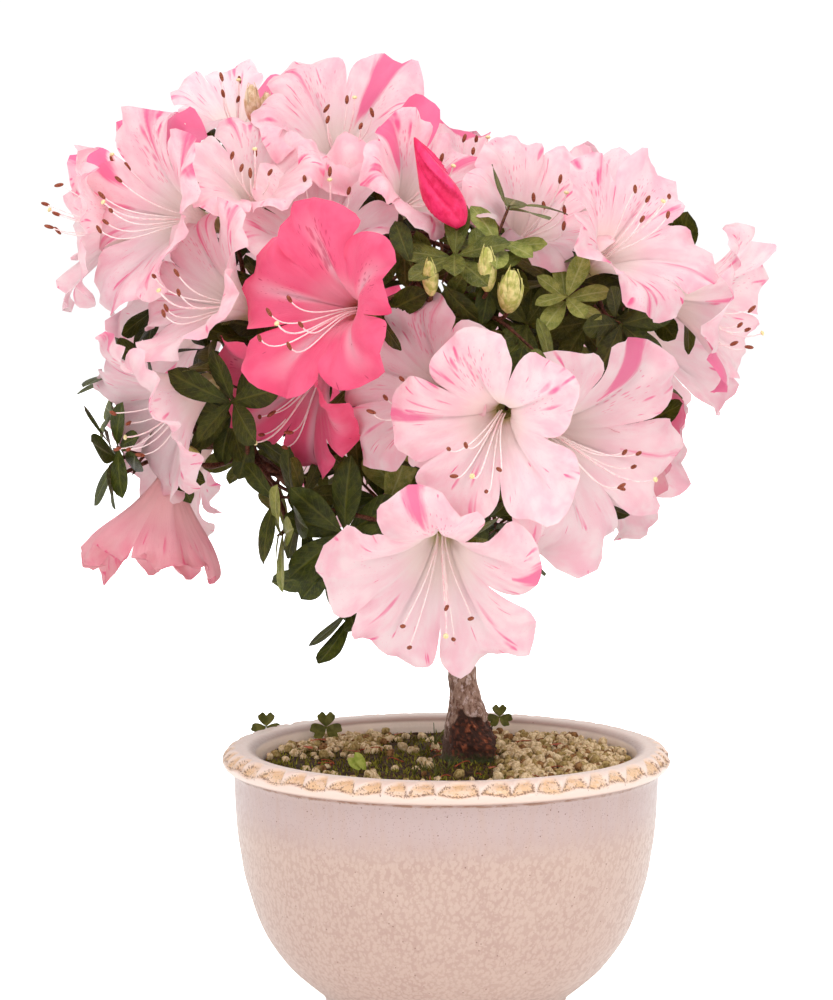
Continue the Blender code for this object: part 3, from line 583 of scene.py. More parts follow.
# Shoots that fill the crown between the source's own, told as its whorls are.
FILL_SHOOTS = [
    ("mass_low_left", (-124, -12, 205), -46, -24, 6, 20),
    ("mass_low_left", (-78, -58, 236), -30, 0, 7, 23),
    ("mass_left", (-80, -66, 256), -50, -10, 5, 22),
    ("mass_low_left", (-62, -46, 187), -60, -8, 7, 24),
    ("mass_low_left", (-63, -44, 200), -50, 14, 6, 22),
    ("mass_low_left", (-54, -46, 175), -30, -46, 6, 23),
    ("mass_front", (15, -58, 194), 10, -50, 6, 23),
    ("mass_front", (27, -42, 184), 30, -60, 5, 20),
    ("mass_low_right", (40, -38, 182), 40, -60, 5, 19),
    ("mass_top_right", (62, -62, 264), 30, 0, 6, 24),
    ("mass_front", (2, -44, 252), 0, 60, 6, 22),
]

# Scaly buds on the same terms: mass, place of the tip, turn, rise, length and width.
FILL_BUDS = [
    ("mass_top_left", (-73, 0, 353), -10, 78, 15, 5.5),
    ("mass_top_left", (-67, 4, 350), 30, 70, 12, 4.5),
    ("mass_low_left", (-95, -45, 219), -40, 40, 9, 5),
]

# Balls that finer growth keeps out of, for open sky and the furled bud: centre, radius.
KEPT_OPEN = [
    ((-77, -30, 196), 12), ((-84, -30, 176), 18), ((-4, -84, 312), 20), ((19, -90, 282), 11),
]


class Crown:
    """The masses as they grow, which keeps each new piece clear of what is there."""

    def __init__(self):
        self.limbs = [limb_shell(name).tree() for name in ["trunk", *BOUGHS]]
        self.trees = {mass: [] for mass in MASSES}
        self.hubs = {}
        self.stems = []
        self.twigs = []
        self.shoots = []
        self.leaves = []
        self.buds = []

    def clear(self, mass, shell, own_too=False):
        tree = shell.tree()
        others = list(self.limbs)
        for name, trees in self.trees.items():
            if name != mass or own_too:
                others.extend(trees)
        return not any(tree.overlap(other) for other in others)

    def within(self, mass, points):
        _, centre, reach = MASSES[mass]
        return all((point - Vector(centre)).length < reach for point in points)

    def in_sky(self, points):
        return any(
            (point - Vector(centre)).length < radius
            for point in points
            for centre, radius in KEPT_OPEN
        )

    def keep(self, mass, shell):
        self.trees[mass].append(shell.tree())

    def grow_stem(self, mass):
        """The stem of a mass, and the hub at its end that the twigs leave."""
        centre = Vector(MASSES[mass][1])
        start, ahead = stem_of(mass)
        reach = min(STEM_REACH, (centre - start).length * 0.5)
        hub = start + (ahead + (centre - start).normalized()).normalized() * reach
        self.keep(mass, tube([start, start + ahead * STEM_START, hub], STEM_RADII, 5))
        self.stems.append((start, ahead, hub))
        self.hubs[mass] = (hub, (hub - start).normalized())

    def grow_twig(self, mass, arrive, end, name):
        """Grows the first of some seeded bends of a twig that touches nothing, if any."""
        chance = random.Random(f"{SEED} {name}")
        hub, leave = self.hubs[mass]
        start = hub - leave * HUB_SUNK
        for attempt in range(TWIG_TRIES):
            sway = random_vector(chance) * TWIG_SWAY * attempt
            leaving = (leave + sway).normalized()
            path = sweep(start, leaving, arrive, end, TWIG_STEPS)
            steps = range(TWIG_STEPS + 1)
            radii = [TWIG_RADIUS * (1 - TWIG_TAPER * i / TWIG_STEPS) for i in steps]
            shell = tube(path, radii, TWIG_SIDES)
            if self.clear(mass, shell):
                self.keep(mass, shell)
                self.twigs.append((mass, start, leaving, arrive, end, name))
                return True
        return False

    def add_leaves(self, mass, place, out, count, length, name, spread=LEAF_SPREAD, finer=False):
        """Leaves in a whorl round a shoot's end, each skipped where it has no room."""
        chance = random.Random(f"{SEED} leaves {name}")
        side, up = across(out)
        first = chance.uniform(0, 360)
        for i in range(count):
            turn = math.radians(first + GOLDEN_TURN * i)
            lean = math.radians(chance.uniform(*spread))
            ray = ray_at(side, up, turn)
            ahead = ray_at(out, ray, lean)
            face = out * math.sin(lean) - ray * math.cos(lean)
            size = length * chance.uniform(*LEAF_SIZES)
            root = place - out * (0.4 + LEAF_STEP * i) - ahead * 0.5
            droop = size * chance.uniform(*LEAF_DROOPS)
            blade = leaf_shell(root, ahead, face, size, droop, LEAF_SUNK)
            if finer and self.in_sky(blade.points):
                continue
            if self.within(mass, blade.points) and self.clear(mass, blade, own_too=True):
                self.keep(mass, leaf_shell(root, ahead, face, size, droop))
                self.leaves.append((root, ahead, face, size, droop, name))

    def grow_whorls(self, rows, label, finer=False):
        """A twig for each row, with a whorl of leaves at its end."""
        for i, (mass, place, turn, rise, count, length) in enumerate(rows):
            out = along(turn, rise)
            place = Vector(place)
            name = f"{label} {i}"
            if self.grow_twig(mass, out, place, name):
                self.add_leaves(mass, place, out, count, length, name, finer=finer)

    def grow_buds(self, rows, label, finer=False):
        """A twig for each row, with a bud at its end."""
        for i, (mass, tip, turn, rise, length, width) in enumerate(rows):
            out = along(turn, rise)
            tip = Vector(tip)
            shell = bud_shell(tip, out, length, width)
            if not finer and not self.clear(mass, shell):
                continue
            if self.grow_twig(mass, out, tip - out * length * BUD_SEAT, f"{label} {i}"):
                self.keep(mass, shell)
                self.buds.append((tip, out, length, width))

    def grow_shoots(self):
        """Finer twigs from the sides of every twig, each with its own small whorl."""
        for mass, start, leave, arrive, end, name in list(self.twigs):
            chance = random.Random(f"{SEED} shoots {name}")
            path = sweep(start, leave, arrive, end, SHOOT_STEPS)
            for share in SIDE_SHOOTS:
                step = round(share * SHOOT_STEPS)
                place = path[step]
                ahead = (path[step + 1] - place).normalized()
                side, up = across(ahead)
                for hand in (0, 1):
                    turn = chance.uniform(0, math.pi) + hand * math.pi
                    ray = ray_at(side, up, turn)
                    out = (ray + ahead * SHOOT_AHEAD + Vector((0, 0, SHOOT_RISE))).normalized()
                    tip = place + out * chance.uniform(*SHOOT_LENGTH)
                    shell = tube([place + out * SHOOT_SKIP, tip], [SHOOT_RADIUS] * 2, 3)
                    if self.in_sky([tip]) or not self.within(mass, [tip]):
                        continue
                    if not self.clear(mass, shell, own_too=True):
                        continue
                    self.keep(mass, shell)
                    self.shoots.append((place, ahead, out, tip))
                    spray = f"{name} shoot {share} {hand}"
                    size = chance.uniform(*SHOOT_LEAF)
                    spread = SHOOT_LEAF_SPREAD
                    self.add_leaves(mass, tip, out, SHOOT_LEAVES, size, spray, spread, True)


def grow_crown():
    """Grows every mass by the source's rule, then carries it on to finer twigs."""
    crown = Crown()
    for mass in MASSES:
        crown.grow_stem(mass)
    for name, row in BLOOMS.items():
        crown.keep(row[0], bloom_shell(name))
    for name, row in BLOOMS.items():
        foot, _, _, out = bloom_frame(name)
        if crown.grow_twig(row[0], out, foot + out * BLOOM_TWIG_END, name):
            place = foot - out * BLOOM_LEAF_BACK
            spread = BLOOM_LEAF_SPREAD
            crown.add_leaves(row[0], place, out, BLOOM_LEAVES, BLOOM_LEAF_LENGTH, name, spread)
    crown.grow_whorls(WHORLS, "whorl")
    crown.grow_buds(BUDS, "bud")
    crown.grow_whorls(FILL_SHOOTS, "fill", finer=True)
    crown.grow_buds(FILL_BUDS, "fill bud", finer=True)
    crown.grow_shoots()
    return crown


# Grids of points, and the meshes they are gathered into.
CELL_EDGE = 0.04


class Gather:
    """Grids of points gathered into one mesh, each with its own cell of the colour map."""

    def __init__(self, cells=1):
        self.side = math.ceil(math.sqrt(cells))
        self.points = []
        self.corners = []
        self.places = []
        self.traits = {}
        self.count = 0
        self.used = 0

    def add(self, points, wrap=False, sheet=False, **traits):
        """Adds one grid, as the skin of a solid or as a sheet that faces its upper side.

        A trait is three numbers, or three for each row and column.
        """
        rows, columns = points.shape[:2]
        faces_across = columns if wrap else columns - 1
        row, column = np.meshgrid(np.arange(rows - 1), np.arange(faces_across), indexing="ij")
        order = [0, 1, 2, 3] if sheet else [0, 3, 2, 1]
        row = np.stack([row, row, row + 1, row + 1], axis=-1)[..., order].ravel()
        column = np.stack([column, column + 1, column + 1, column], axis=-1)[..., order].ravel()
        self.corners.append(self.count + row * columns + column % columns)
        inner = 1 - 2 * CELL_EDGE
        u = self.used % self.side + CELL_EDGE + inner * column / faces_across
        v = self.used // self.side + CELL_EDGE + inner * row / (rows - 1)
        self.places.append(np.stack([u, v], axis=-1) / self.side)
        for name, values in traits.items():
            values = np.asarray(values, float)
            if values.ndim == 1:
                spread = np.broadcast_to(values, (len(row), 3))
            else:
                spread = values[row, column]
            self.traits.setdefault(name, []).append(spread)
        self.points.append(points.reshape(-1, 3))
        self.count += rows * columns
        self.used += 1

    def mesh(self, name):
        corners = np.concatenate(self.corners)
        points = np.concatenate(self.points) * MM
        faces = len(corners) // 4
        mesh = bpy.data.meshes.new(name)
        mesh.vertices.add(len(points))
        mesh.vertices.foreach_set("co", points.astype(np.float32).ravel())
        mesh.loops.add(len(corners))
        mesh.loops.foreach_set("vertex_index", corners.astype(np.int32))
        mesh.polygons.add(faces)
        mesh.polygons.foreach_set("loop_start", np.arange(0, faces * 4, 4, dtype=np.int32))
        mesh.polygons.foreach_set("use_smooth", np.ones(faces, bool))
        mesh.update(calc_edges=True)
        uv = mesh.uv_layers.new(name="OFBake")
        uv.data.foreach_set("uv", np.concatenate(self.places).astype(np.float32).ravel())
        for trait, parts in self.traits.items():
            attribute = mesh.attributes.new(trait, "FLOAT_VECTOR", "CORNER")
            values = np.concatenate(parts).astype(np.float32)
            attribute.data.foreach_set("vector", values.ravel())
        mesh.validate()
        return mesh


def add_object(name, data):
    obj = bpy.data.objects.new(name, data)
    bpy.context.scene.collection.objects.link(obj)
    return obj


def make_piece(name, gather, material, stands_for=()):
    """One visible piece of the plant or its pot, made from gathered grids."""
    mesh = gather.mesh(name)
    mesh.materials.append(material)
    obj = add_object(name, mesh)
    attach(obj, BODY)
    if stands_for:
        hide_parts(*stands_for)


def smoothstep(low, high, value):
    part = np.clip((value - low) / (high - low), 0, 1)
    return part * part * (3 - 2 * part)


def smooth_column(table, column, places):
    """Reads a column of a table along a smooth curve through its rows."""
    knots = np.array([row[0] for row in table], float)
    values = np.array([row[column] for row in table], float)
    slopes = np.gradient(values, knots)
    places = np.clip(places, knots[0], knots[-1])
    lower = np.clip(np.searchsorted(knots, places) - 1, 0, len(knots) - 2)
    width = knots[lower + 1] - knots[lower]
    t = (places - knots[lower]) / width
    return (
        values[lower] * (2 * t ** 3 - 3 * t ** 2 + 1)
        + slopes[lower] * width * (t ** 3 - 2 * t ** 2 + t)
        + values[lower + 1] * (3 * t ** 2 - 2 * t ** 3)
        + slopes[lower + 1] * width * (t ** 3 - t ** 2)
    )


def rays(side, up, angles):
    """The directions at an array of angles from side towards up."""
    return np.cos(angles)[..., None] * side + np.sin(angles)[..., None] * up


def lay_out(root, axes, distances):
    """A grid of points, each its own distance from a root along every axis."""
    points = np.array(root)
    for axis, distance in zip(axes, distances):
        points = points + axis * distance[..., None]
    return points


def turned(reach, angles, height):
    """Points round the upright axis, at a reach, an angle and a height."""
    x, y = reach * np.cos(angles), reach * np.sin(angles)
    return np.stack([x, y, np.broadcast_to(height, x.shape)], axis=-1)


def skin(path, radii, sides):
    """A grid of points round a path, for a round limb with a radius at each point."""
    path = np.asarray([tuple(point) for point in path], float)
    ahead = np.gradient(path, axis=0)
    ahead /= np.linalg.norm(ahead, axis=1)[:, None]
    side = np.array(across(Vector(ahead[0]))[0])
    angles = math.tau * np.arange(sides) / sides
    rings = []
    for point, direction, radius in zip(path, ahead, radii):
        side = side - direction * side.dot(direction)
        side /= np.linalg.norm(side)
        ray = rays(side, np.cross(side, direction), angles)
        rings.append(point + ray * np.reshape(radius, (-1, 1)))
    return np.array(rings)


# The corolla as it shows: finer than the solid, with ruffled lobes that overlap. Pairs
# in brackets are the lowest and highest value that chance gives.
LOBE_COLUMNS = 26
LOBE_ROWS = 26
BLOOM_NOTCH = 0.57
NOTCH_UNEVEN = (-0.06, 0.08)
LOBE_WIDEN = (7.0, 13.0)
LOBE_LENGTH = (0.93, 1.07)
LOBE_SKEW = (-0.16, 0.16)
BLUNT = (1.7, 2.6)
SHOULDER = (0.56, 0.72)
POINT = (-0.03, 0.05)
POINT_WIDTH = 0.2
SHOWN_CURL = (-0.22, 0.06)
SHOWN_CUP = (-0.13, 0.07)
LOBE_PULL = (-0.05, 0.05)
OVERLAP = 0.05
GROOVE = 0.06
GROOVE_WIDTH = 0.12
SWELL = 0.055
SWELL_COUNTS = (2.4, 5.5)
CRUMPLE = 0.012
CRUMPLE_FADE = (0.35, 0.8)
SHOWN_FUNNEL = [*FUNNEL, (1.12, 1.12, 0.90)]
# Waves along a lobe's rim: size and count; and creases: counts across and along it.
RAGGED = 0.032
RAGGED_WAVES = ((1.0, 3.1), (0.8, 5.3), (0.6, 8.9))
RUFFLE = 0.075
RUFFLE_WAVES = ((1.0, 5.06), (0.7, 9.02), (0.4, 16.06))
CREASES = ((5, 7), (8, 5), (11, 13))


def any_turn(chance):
    return chance.uniform(0, math.tau)


def waves_over(chance, u, waves):
    """The sum of waves over a lobe, each told by its size and its count."""
    total = np.zeros_like(u)
    for size, count in waves:
        total += size * np.sin(u * count + any_turn(chance))
    return total


def lobe_rim(chance, u, notch):
    """How far along the funnel a lobe reaches: blunt, skewed, pointed and ragged."""
    longer = 1 + (chance.uniform(*LOBE_LENGTH) - 1) * 2
    skewed = u + chance.uniform(*LOBE_SKEW) * (1 - u ** 2)
    blunt, shoulder = chance.uniform(*BLUNT), chance.uniform(*SHOULDER)
    full = np.clip(1 - np.abs(skewed) ** blunt, 0, 1) ** shoulder
    point = chance.uniform(*POINT) * np.exp(-(skewed / POINT_WIDTH) ** 2)
    ragged = waves_over(chance, u, RAGGED_WAVES)
    return notch + (1 - notch) * full * longer + point + RAGGED * ragged * full


def lobe_lift(chance, u, v, share, free, seams):
    """How far a lobe stands off the funnel: curl, overlap, groove, creases and ruffle."""
    curl, cup = chance.uniform(*SHOWN_CURL), chance.uniform(*SHOWN_CUP)
    lift = curl * free ** 2 + cup * (u ** 2 - 0.3) * free
    left, right = seams
    over = right * np.clip(u, 0, 1) ** 2 - left * np.clip(-u, 0, 1) ** 2
    lift += OVERLAP * over * free
    lift -= GROOVE * np.exp(-np.abs(u) / GROOVE_WIDTH) * np.sin(np.clip(share, 0, 1) * math.pi)
    for across_count, along_count in CREASES:
        crumple = np.sin(across_count * u + any_turn(chance))
        crumple = crumple * np.sin(along_count * share + any_turn(chance))
        lift += CRUMPLE * crumple * (1 - u ** 2) ** 0.5 * smoothstep(*CRUMPLE_FADE, share)
    lift += RUFFLE * waves_over(chance, u, RUFFLE_WAVES) * v ** 3 * free ** 0.6
    swell = np.sin(SWELL_COUNTS[0] * u + any_turn(chance))
    swell = swell * np.sin(SWELL_COUNTS[1] * share + any_turn(chance))
    return lift + SWELL * swell * free ** 0.5


def bloom_grid(name):
    """Points of a corolla, rows from foot to rim, and each lobe's place in it."""
    _, _, _, _, span, _, openness, _ = BLOOMS[name]
    chance = random.Random(f"{SEED} petals {name}")
    foot, side, up, out = (np.array(part) for part in bloom_frame(name))
    u = np.sin(np.linspace(-1, 1, LOBE_COLUMNS + 1) * math.pi / 2)
    v = np.linspace(0, 1, LOBE_ROWS + 1)[:, None]
    seams = [chance.choice((-1, 1)) for _ in range(LOBES)]
    notches = [BLOOM_NOTCH + chance.uniform(*NOTCH_UNEVEN) for _ in range(LOBES)]
    widen = chance.uniform(*LOBE_WIDEN)
    lobes = []
    for lobe in range(LOBES):
        notch = notches[lobe - 1] + (notches[lobe] - notches[lobe - 1]) * (u + 1) / 2
        share = v * lobe_rim(chance, u, notch)
        free = smoothstep(notch, 1.0, share)
        shut = (1 - openness) * share
        radius, depth = (smooth_column(SHOWN_FUNNEL, column, share) for column in (1, 2))
        outward = smooth_column(SHOWN_FUNNEL, 1, share + 1e-3) - radius
        forward = smooth_column(SHOWN_FUNNEL, 2, share + 1e-3) - depth
        steep = np.hypot(outward, forward) + 1e-9
        radius = radius * (1 - CLOSING * shut)
        depth = depth * (1 + CLOSING * shut)
        radius = radius * (1 + BELL * (1 - openness) ** 2 * np.sin(math.pi * share))
        lift = lobe_lift(chance, u, v, share, free, (seams[lobe - 1], seams[lobe]))
        pull = chance.uniform(*LOBE_PULL) * free ** 2
        angle = np.radians(360 * lobe / LOBES + u * (180 / LOBES + widen * free)) + pull
        reach = (radius - lift * forward / steep) * span / 2
        height = (depth + lift * outward / steep) * span / 2
        points = lay_out(foot, (rays(side, up, angle), out), (reach, height))
        lobes.append((points, np.broadcast_to(u, share.shape), share, v + 0 * share))
    return lobes


def make_bloom(name, material):
    """One corolla of five lobes, with what its material needs to know at each point."""
    gather = Gather(LOBES)
    chance = random.Random(f"{SEED} paint {name}")
    _, side, up, out = bloom_frame(name)
    for lobe, (points, u, share, margin) in enumerate(bloom_grid(name)):
        height = ray_at(side, up, math.tau * lobe / LOBES).z
        blotch = max(0.0, height) if abs(out.z) < 0.8 else 0.3
        seed = chance.uniform(0, 9)
        petal = np.stack([u, share, np.full_like(share, seed)], axis=-1)
        band = BANDS.get((name, lobe), (0.0, 0.0, 1.0))
        rim = np.stack([margin, np.full_like(share, blotch), share], axis=-1)
        gather.add(points, sheet=True, petal=petal, band=band, rim=rim)
    make_piece(f"bloom_{name}", gather, material)


# Stamens: five filaments and a longer style, which lean and curve up at their ends.
# Reach and spread are shares of half the bloom's span.
FILAMENT = 0.32
STYLE = 0.38
ANTHER = (3.5, 0.75)
ANTHER_LENGTHS = (0.85, 1.15)
ANTHER_TILT = 0.9
STIGMA = 1.0
STAMENS = 5
STAMEN_STEPS = 14
STAMEN_SIDES = 6
STAMEN_FOOT = 0.22
STAMEN_REACH = (1.05, 1.32)
STAMEN_SPREAD = (0.14, 0.30)
STYLE_SPREAD = 0.08
STYLE_LONGER = 0.16
# How far the stamens lean off a bloom's axis, to the right and up, in shares of half
# its span. A bloom without a row lets them droop.
LEANS = {
    "front_star": (-0.10, -0.30), "front_right": (0.10, -0.10), "front_low": (0.0, -0.30),
    "rose_upper": (-0.25, -0.25), "rose_lower": (-0.30, -0.35), "left_low": (-0.35, -0.25),
    "right_wide": (0.05, 0.20), "left_far": (0.0, 0.20), "upper_wide": (0.10, 0.10),
    "left_upper": (-0.20, 0.0),
}
DROOP = (0.0, -0.22)


def blob(centre, ahead, length, radius, sides=8, rings=6):
    """A grid of points over a small rounded body along a direction."""
    turns = np.linspace(0.04, 0.96, rings + 1) * math.pi
    path = [np.array(centre) + np.array(ahead) * (-math.cos(t) * length / 2) for t in turns]
    return skin(path, [radius * math.sin(t) for t in turns], sides)


def make_stamens(materials):
    """The filaments, anthers, styles and stigmas of all the blooms, each kind joined."""
    total = len(BLOOMS) * (STAMENS + 1)
    kinds = {kind: Gather(total) for kind in ("filament", "anther", "style", "stigma")}

    def add_thread(kind, path, radius, tip_share):
        radii = np.linspace(radius, radius * tip_share, STAMEN_STEPS + 1)
        kinds[kind].add(skin(path, radii, STAMEN_SIDES), wrap=True)

    for name, (_, _, _, _, span, _, openness, _) in BLOOMS.items():
        chance = random.Random(f"{SEED} stamens {name}")
        foot, _, _, out = bloom_frame(name)
        half = span / 2
        right = out.cross(Vector((0, 0, 1)))
        right = -right.normalized() if right.length > 0.1 else Vector((1, 0, 0))
        high = right.cross(-out).normalized()
        if high.z < 0:
            high = -high
        lean_x, lean_z = LEANS.get(name, DROOP)
        lean = Vector((lean_x, 0, lean_z)) * half
        lean = lean - out * lean.dot(out)
        for k in range(STAMENS + 1):
            is_style = k == STAMENS
            angle = math.tau * (k + chance.uniform(-0.25, 0.25)) / STAMENS
            spread = STYLE_SPREAD if is_style else chance.uniform(*STAMEN_SPREAD)
            reach = chance.uniform(*STAMEN_REACH) + STYLE_LONGER * is_style
            fan = ray_at(right, high, angle) * spread * half
            start = foot + out * half * STAMEN_FOOT + fan * 0.12
            end = foot + out * half * reach * (0.55 + 0.45 * openness) + lean + fan
            rise = (high * 0.5 - lean / half * 0.5 + out).normalized()
            leave = (out + lean / half * 0.7).normalized()
            path = sweep(start, leave, rise, end, STAMEN_STEPS)
            if is_style:
                add_thread("style", path, STYLE, 0.8)
                kinds["stigma"].add(blob(end, rise, STIGMA * 1.3, STIGMA), wrap=True)
                continue
            add_thread("filament", path, FILAMENT, 0.7)
            tilt = fan.normalized() * chance.uniform(-ANTHER_TILT, ANTHER_TILT)
            tilt = (rise + tilt).normalized()
            length, radius = ANTHER
            length = length * chance.uniform(*ANTHER_LENGTHS)
            kinds["anther"].add(blob(end, tilt, length, radius), wrap=True)
    for kind, gather in kinds.items():
        make_piece(f"{kind}s", gather, materials[kind])


# Leaves as they show: half width at shares of the length, with a folded midrib.
LEAF_OUTLINE = [
    (0.0, 0.07), (0.06, 0.11), (0.16, 0.34), (0.30, 0.64), (0.45, 0.87), (0.58, 0.98),
    (0.70, 1.0), (0.82, 0.86), (0.92, 0.56), (0.97, 0.32), (1.0, 0.04),
]
LEAF_ROWS = 10
LEAF_COLUMNS = [-1.0, -0.66, -0.3, 0.0, 0.3, 0.66, 1.0]
LEAF_SHOWN = 0.57
LEAF_FOLD = 0.30
LEAF_FOLDS = (0.4, 1.2)
LEAF_TWIST = (-0.35, 0.35)
LEAF_WAVE = (-0.05, 0.05)
LEAF_TONES = ["dark", "olive", "young"]
TONE_WEIGHTS = [0.55, 0.35, 0.10]
SPRAY_TONES = {
    "whorl 0": "olive", "whorl 1": "young", "whorl 2": "olive", "whorl 3": "young",
    "whorl 4": "dark", "whorl 6": "olive", "whorl 14": "dark", "fill 4": "dark", "fill 6": "dark",
}


def leaf_grid(root, ahead, face, length, droop, chance):
    """Points of a leaf, rows from its stalk to its tip."""
    axes = [np.array(part) for part in leaf_axes(ahead, face)]
    v = np.linspace(0, 1, LEAF_ROWS + 1)[:, None]
    u = np.array(LEAF_COLUMNS)
    half = length * LEAF_WIDTH * LEAF_SHOWN * smooth_column(LEAF_OUTLINE, 1, v)
    fold = LEAF_FOLD * chance.uniform(*LEAF_FOLDS)
    twist = chance.uniform(*LEAF_TWIST) * v
    wave = chance.uniform(*LEAF_WAVE) * length * np.sin(v * 7 + u * 2)
    sideways = half * u * np.cos(twist)
    rise = half * (np.abs(u) * fold - u ** 2 * 0.16) + half * u * np.sin(twist)
    rise = rise - droop * v ** 2 * 1.3 + wave * np.abs(u) * 0.4
    points = lay_out(root, axes, (length * v + 0 * u, sideways, rise))
    return points, np.broadcast_to(u, points.shape[:2]), np.broadcast_to(v, points.shape[:2])


def make_leaves(crown, materials):
    """The leaves, gathered by the tone that their spray is given."""
    tones = dict(SPRAY_TONES)
    for *_, spray in crown.leaves:
        if spray not in tones:
            chance = random.Random(f"{SEED} tone {spray}")
            tones[spray] = chance.choices(LEAF_TONES, TONE_WEIGHTS)[0]
    for kind in LEAF_TONES:
        rows = [row for row in crown.leaves if tones[row[-1]] == kind]
        gather = Gather(len(rows))
        for i, row in enumerate(rows):
            chance = random.Random(f"{SEED} leaf {kind} {i}")
            points, u, v = leaf_grid(*row[:-1], chance)
            seed = np.full_like(u, chance.uniform(0, 9))
            gather.add(points, sheet=True, leaf=np.stack([u, v, seed], axis=-1))
        make_piece(f"leaves_{kind}", gather, materials[f"leaf_{kind}"])


# Twigs as they show: radius at both ends, how many steps and how many sides.
STEM_SHOWN = (1.9, 1.4, 10, 9)
TWIG_SHOWN = (1.15, 0.72, 22, 7)
SHOOT_SHOWN = (0.72, 0.5, 8, 6)
KNOTS = 0.12
KNOT_TIP = 0.15
PEDICEL_LENGTH = 9.0
PEDICEL_RADIUS = 0.62
PEDICEL_STEPS = 8
CALYX_LENGTH = 0.1


def knotty(start, leave, arrive, end, shown, seed):
    """A twig's grid of points with the small swellings of its joints."""
    first, last, count, sides = shown
    path = sweep(start, leave, arrive, end, count)
    steps = np.arange(count + 1)
    swell = 1 + KNOTS * np.sin(steps * 1.9 + seed) * np.sin(steps * 0.7 + seed * 2)
    swell[-1] = KNOT_TIP
    return skin(path, np.linspace(first, last, count + 1) * swell, sides)


def make_twigs(crown, materials):
    """Every mass's stem, twigs and side shoots, and the green stalks of its blooms."""
    twigs = Gather(len(crown.stems) + len(crown.twigs) + len(crown.shoots))
    stalks = Gather(len(BLOOMS) * (LOBES + 1))
    for i, (start, ahead, hub) in enumerate(crown.stems):
        foot = start - ahead * 2.5
        twigs.add(knotty(foot, ahead, (hub - start).normalized(), hub, STEM_SHOWN, i), wrap=True)
    for i, (_, start, leave, arrive, end, _) in enumerate(crown.twigs):
        twigs.add(knotty(start, leave, arrive, end, TWIG_SHOWN, i), wrap=True)
    for i, (place, ahead, out, end) in enumerate(crown.shoots):
        leave = (ahead + out).normalized()
        twigs.add(knotty(place, leave, out, end, SHOOT_SHOWN, i), wrap=True)
    for name, (_, _, _, _, span, _, _, _) in BLOOMS.items():
        chance = random.Random(f"{SEED} stalk {name}")
        foot, side, up, out = bloom_frame(name)
        path = sweep(foot - out * PEDICEL_LENGTH, out, out, foot + out * 1.5, PEDICEL_STEPS)
        radii = np.linspace(PEDICEL_RADIUS, PEDICEL_RADIUS * 1.5, PEDICEL_STEPS + 1)
        stalks.add(skin(path, radii, 8), wrap=True)
        for k in range(LOBES):
            ray = ray_at(side, up, math.tau * (k + 0.5) / LOBES)
            ahead = (out * 0.9 + ray * 0.55).normalized()
            sepal = (foot - out * 0.5, ahead, out - ray, span * CALYX_LENGTH, 0.4)
            stalks.add(leaf_grid(*sepal, chance)[0], sheet=True)
    make_piece("twigs", twigs, materials["twig"], stands_for=list(MASSES))
    make_piece("bloom_stalks", stalks, materials["stalk"])


# Buds: the first is a furled crimson corolla, the others are wrapped in pointed scales,
# ring over ring: where a ring starts and ends along the bud, and how many it has.
FURLED_ROWS = 48
FURLED_SIDES = 84
FURLED_PETALS = 3
FURLED_TWIST = 1.9
FURLED_BEND = 2.2
FURLED_WIDTH = 0.66
SCALE_RINGS = [(0.0, 0.58, 5), (0.06, 0.82, 5), (0.16, 1.0, 4)]
SCALE_SPREAD = 0.95
SCALE_STEPS = 9
BEIGE_BUDS = (4, 5)


def furled_bud(foot, axis, side, up, length, width):
    """A twisted corolla whose petals wrap one over the other."""
    angles = math.tau * np.arange(FURLED_SIDES) / FURLED_SIDES
    ray = rays(side, up, angles)
    grid = []
    for row in range(FURLED_ROWS + 1):
        t = row / FURLED_ROWS
        body = math.sin(math.pi * (t * 0.97 + 0.02) ** 0.72) ** 0.8 * (1 - 0.18 * t)
        wrap = np.mod((angles - FURLED_TWIST * t) / math.tau * FURLED_PETALS, 1.0)
        folds = 0.78 + 0.44 * wrap ** 1.8 - 0.16 * np.exp(-((wrap - 0.42) / 0.09) ** 2)
        folds = 1 + (folds - 1) * math.sin(math.pi * min(1.0, t * 1.1)) ** 0.5
        middle = foot + axis * length * t + side * (FURLED_BEND * math.sin(t * math.pi))
        grid.append(middle + ray * (width * FURLED_WIDTH * body * folds)[:, None])
    return np.array(grid)


def bud_scale(foot, axis, side, up, length, width, low, high, turn):
    """One pointed scale that hugs its bud and stands off a little at its tip."""
    v = np.linspace(0, 1, SCALE_STEPS)[:, None]
    u = np.linspace(-1, 1, SCALE_STEPS)
    t = low + (high - low) * v
    body = np.sin(math.pi * np.clip(t * 0.95 + 0.03, 0.02, 0.985) ** 0.8) ** 0.75
    angles = turn + u * SCALE_SPREAD * (1 - v ** 1.7) * (0.75 + 0.25 * np.sin(v * math.pi))
    keel = 0.05 * u ** 2 + 0.03 * np.exp(-(u / 0.15) ** 2)
    radius = width * (0.50 * body + 0.05 + 0.09 * v ** 3 - keel)
    return lay_out(foot, (axis, rays(side, up, angles)), (length * t + 0 * u, radius))


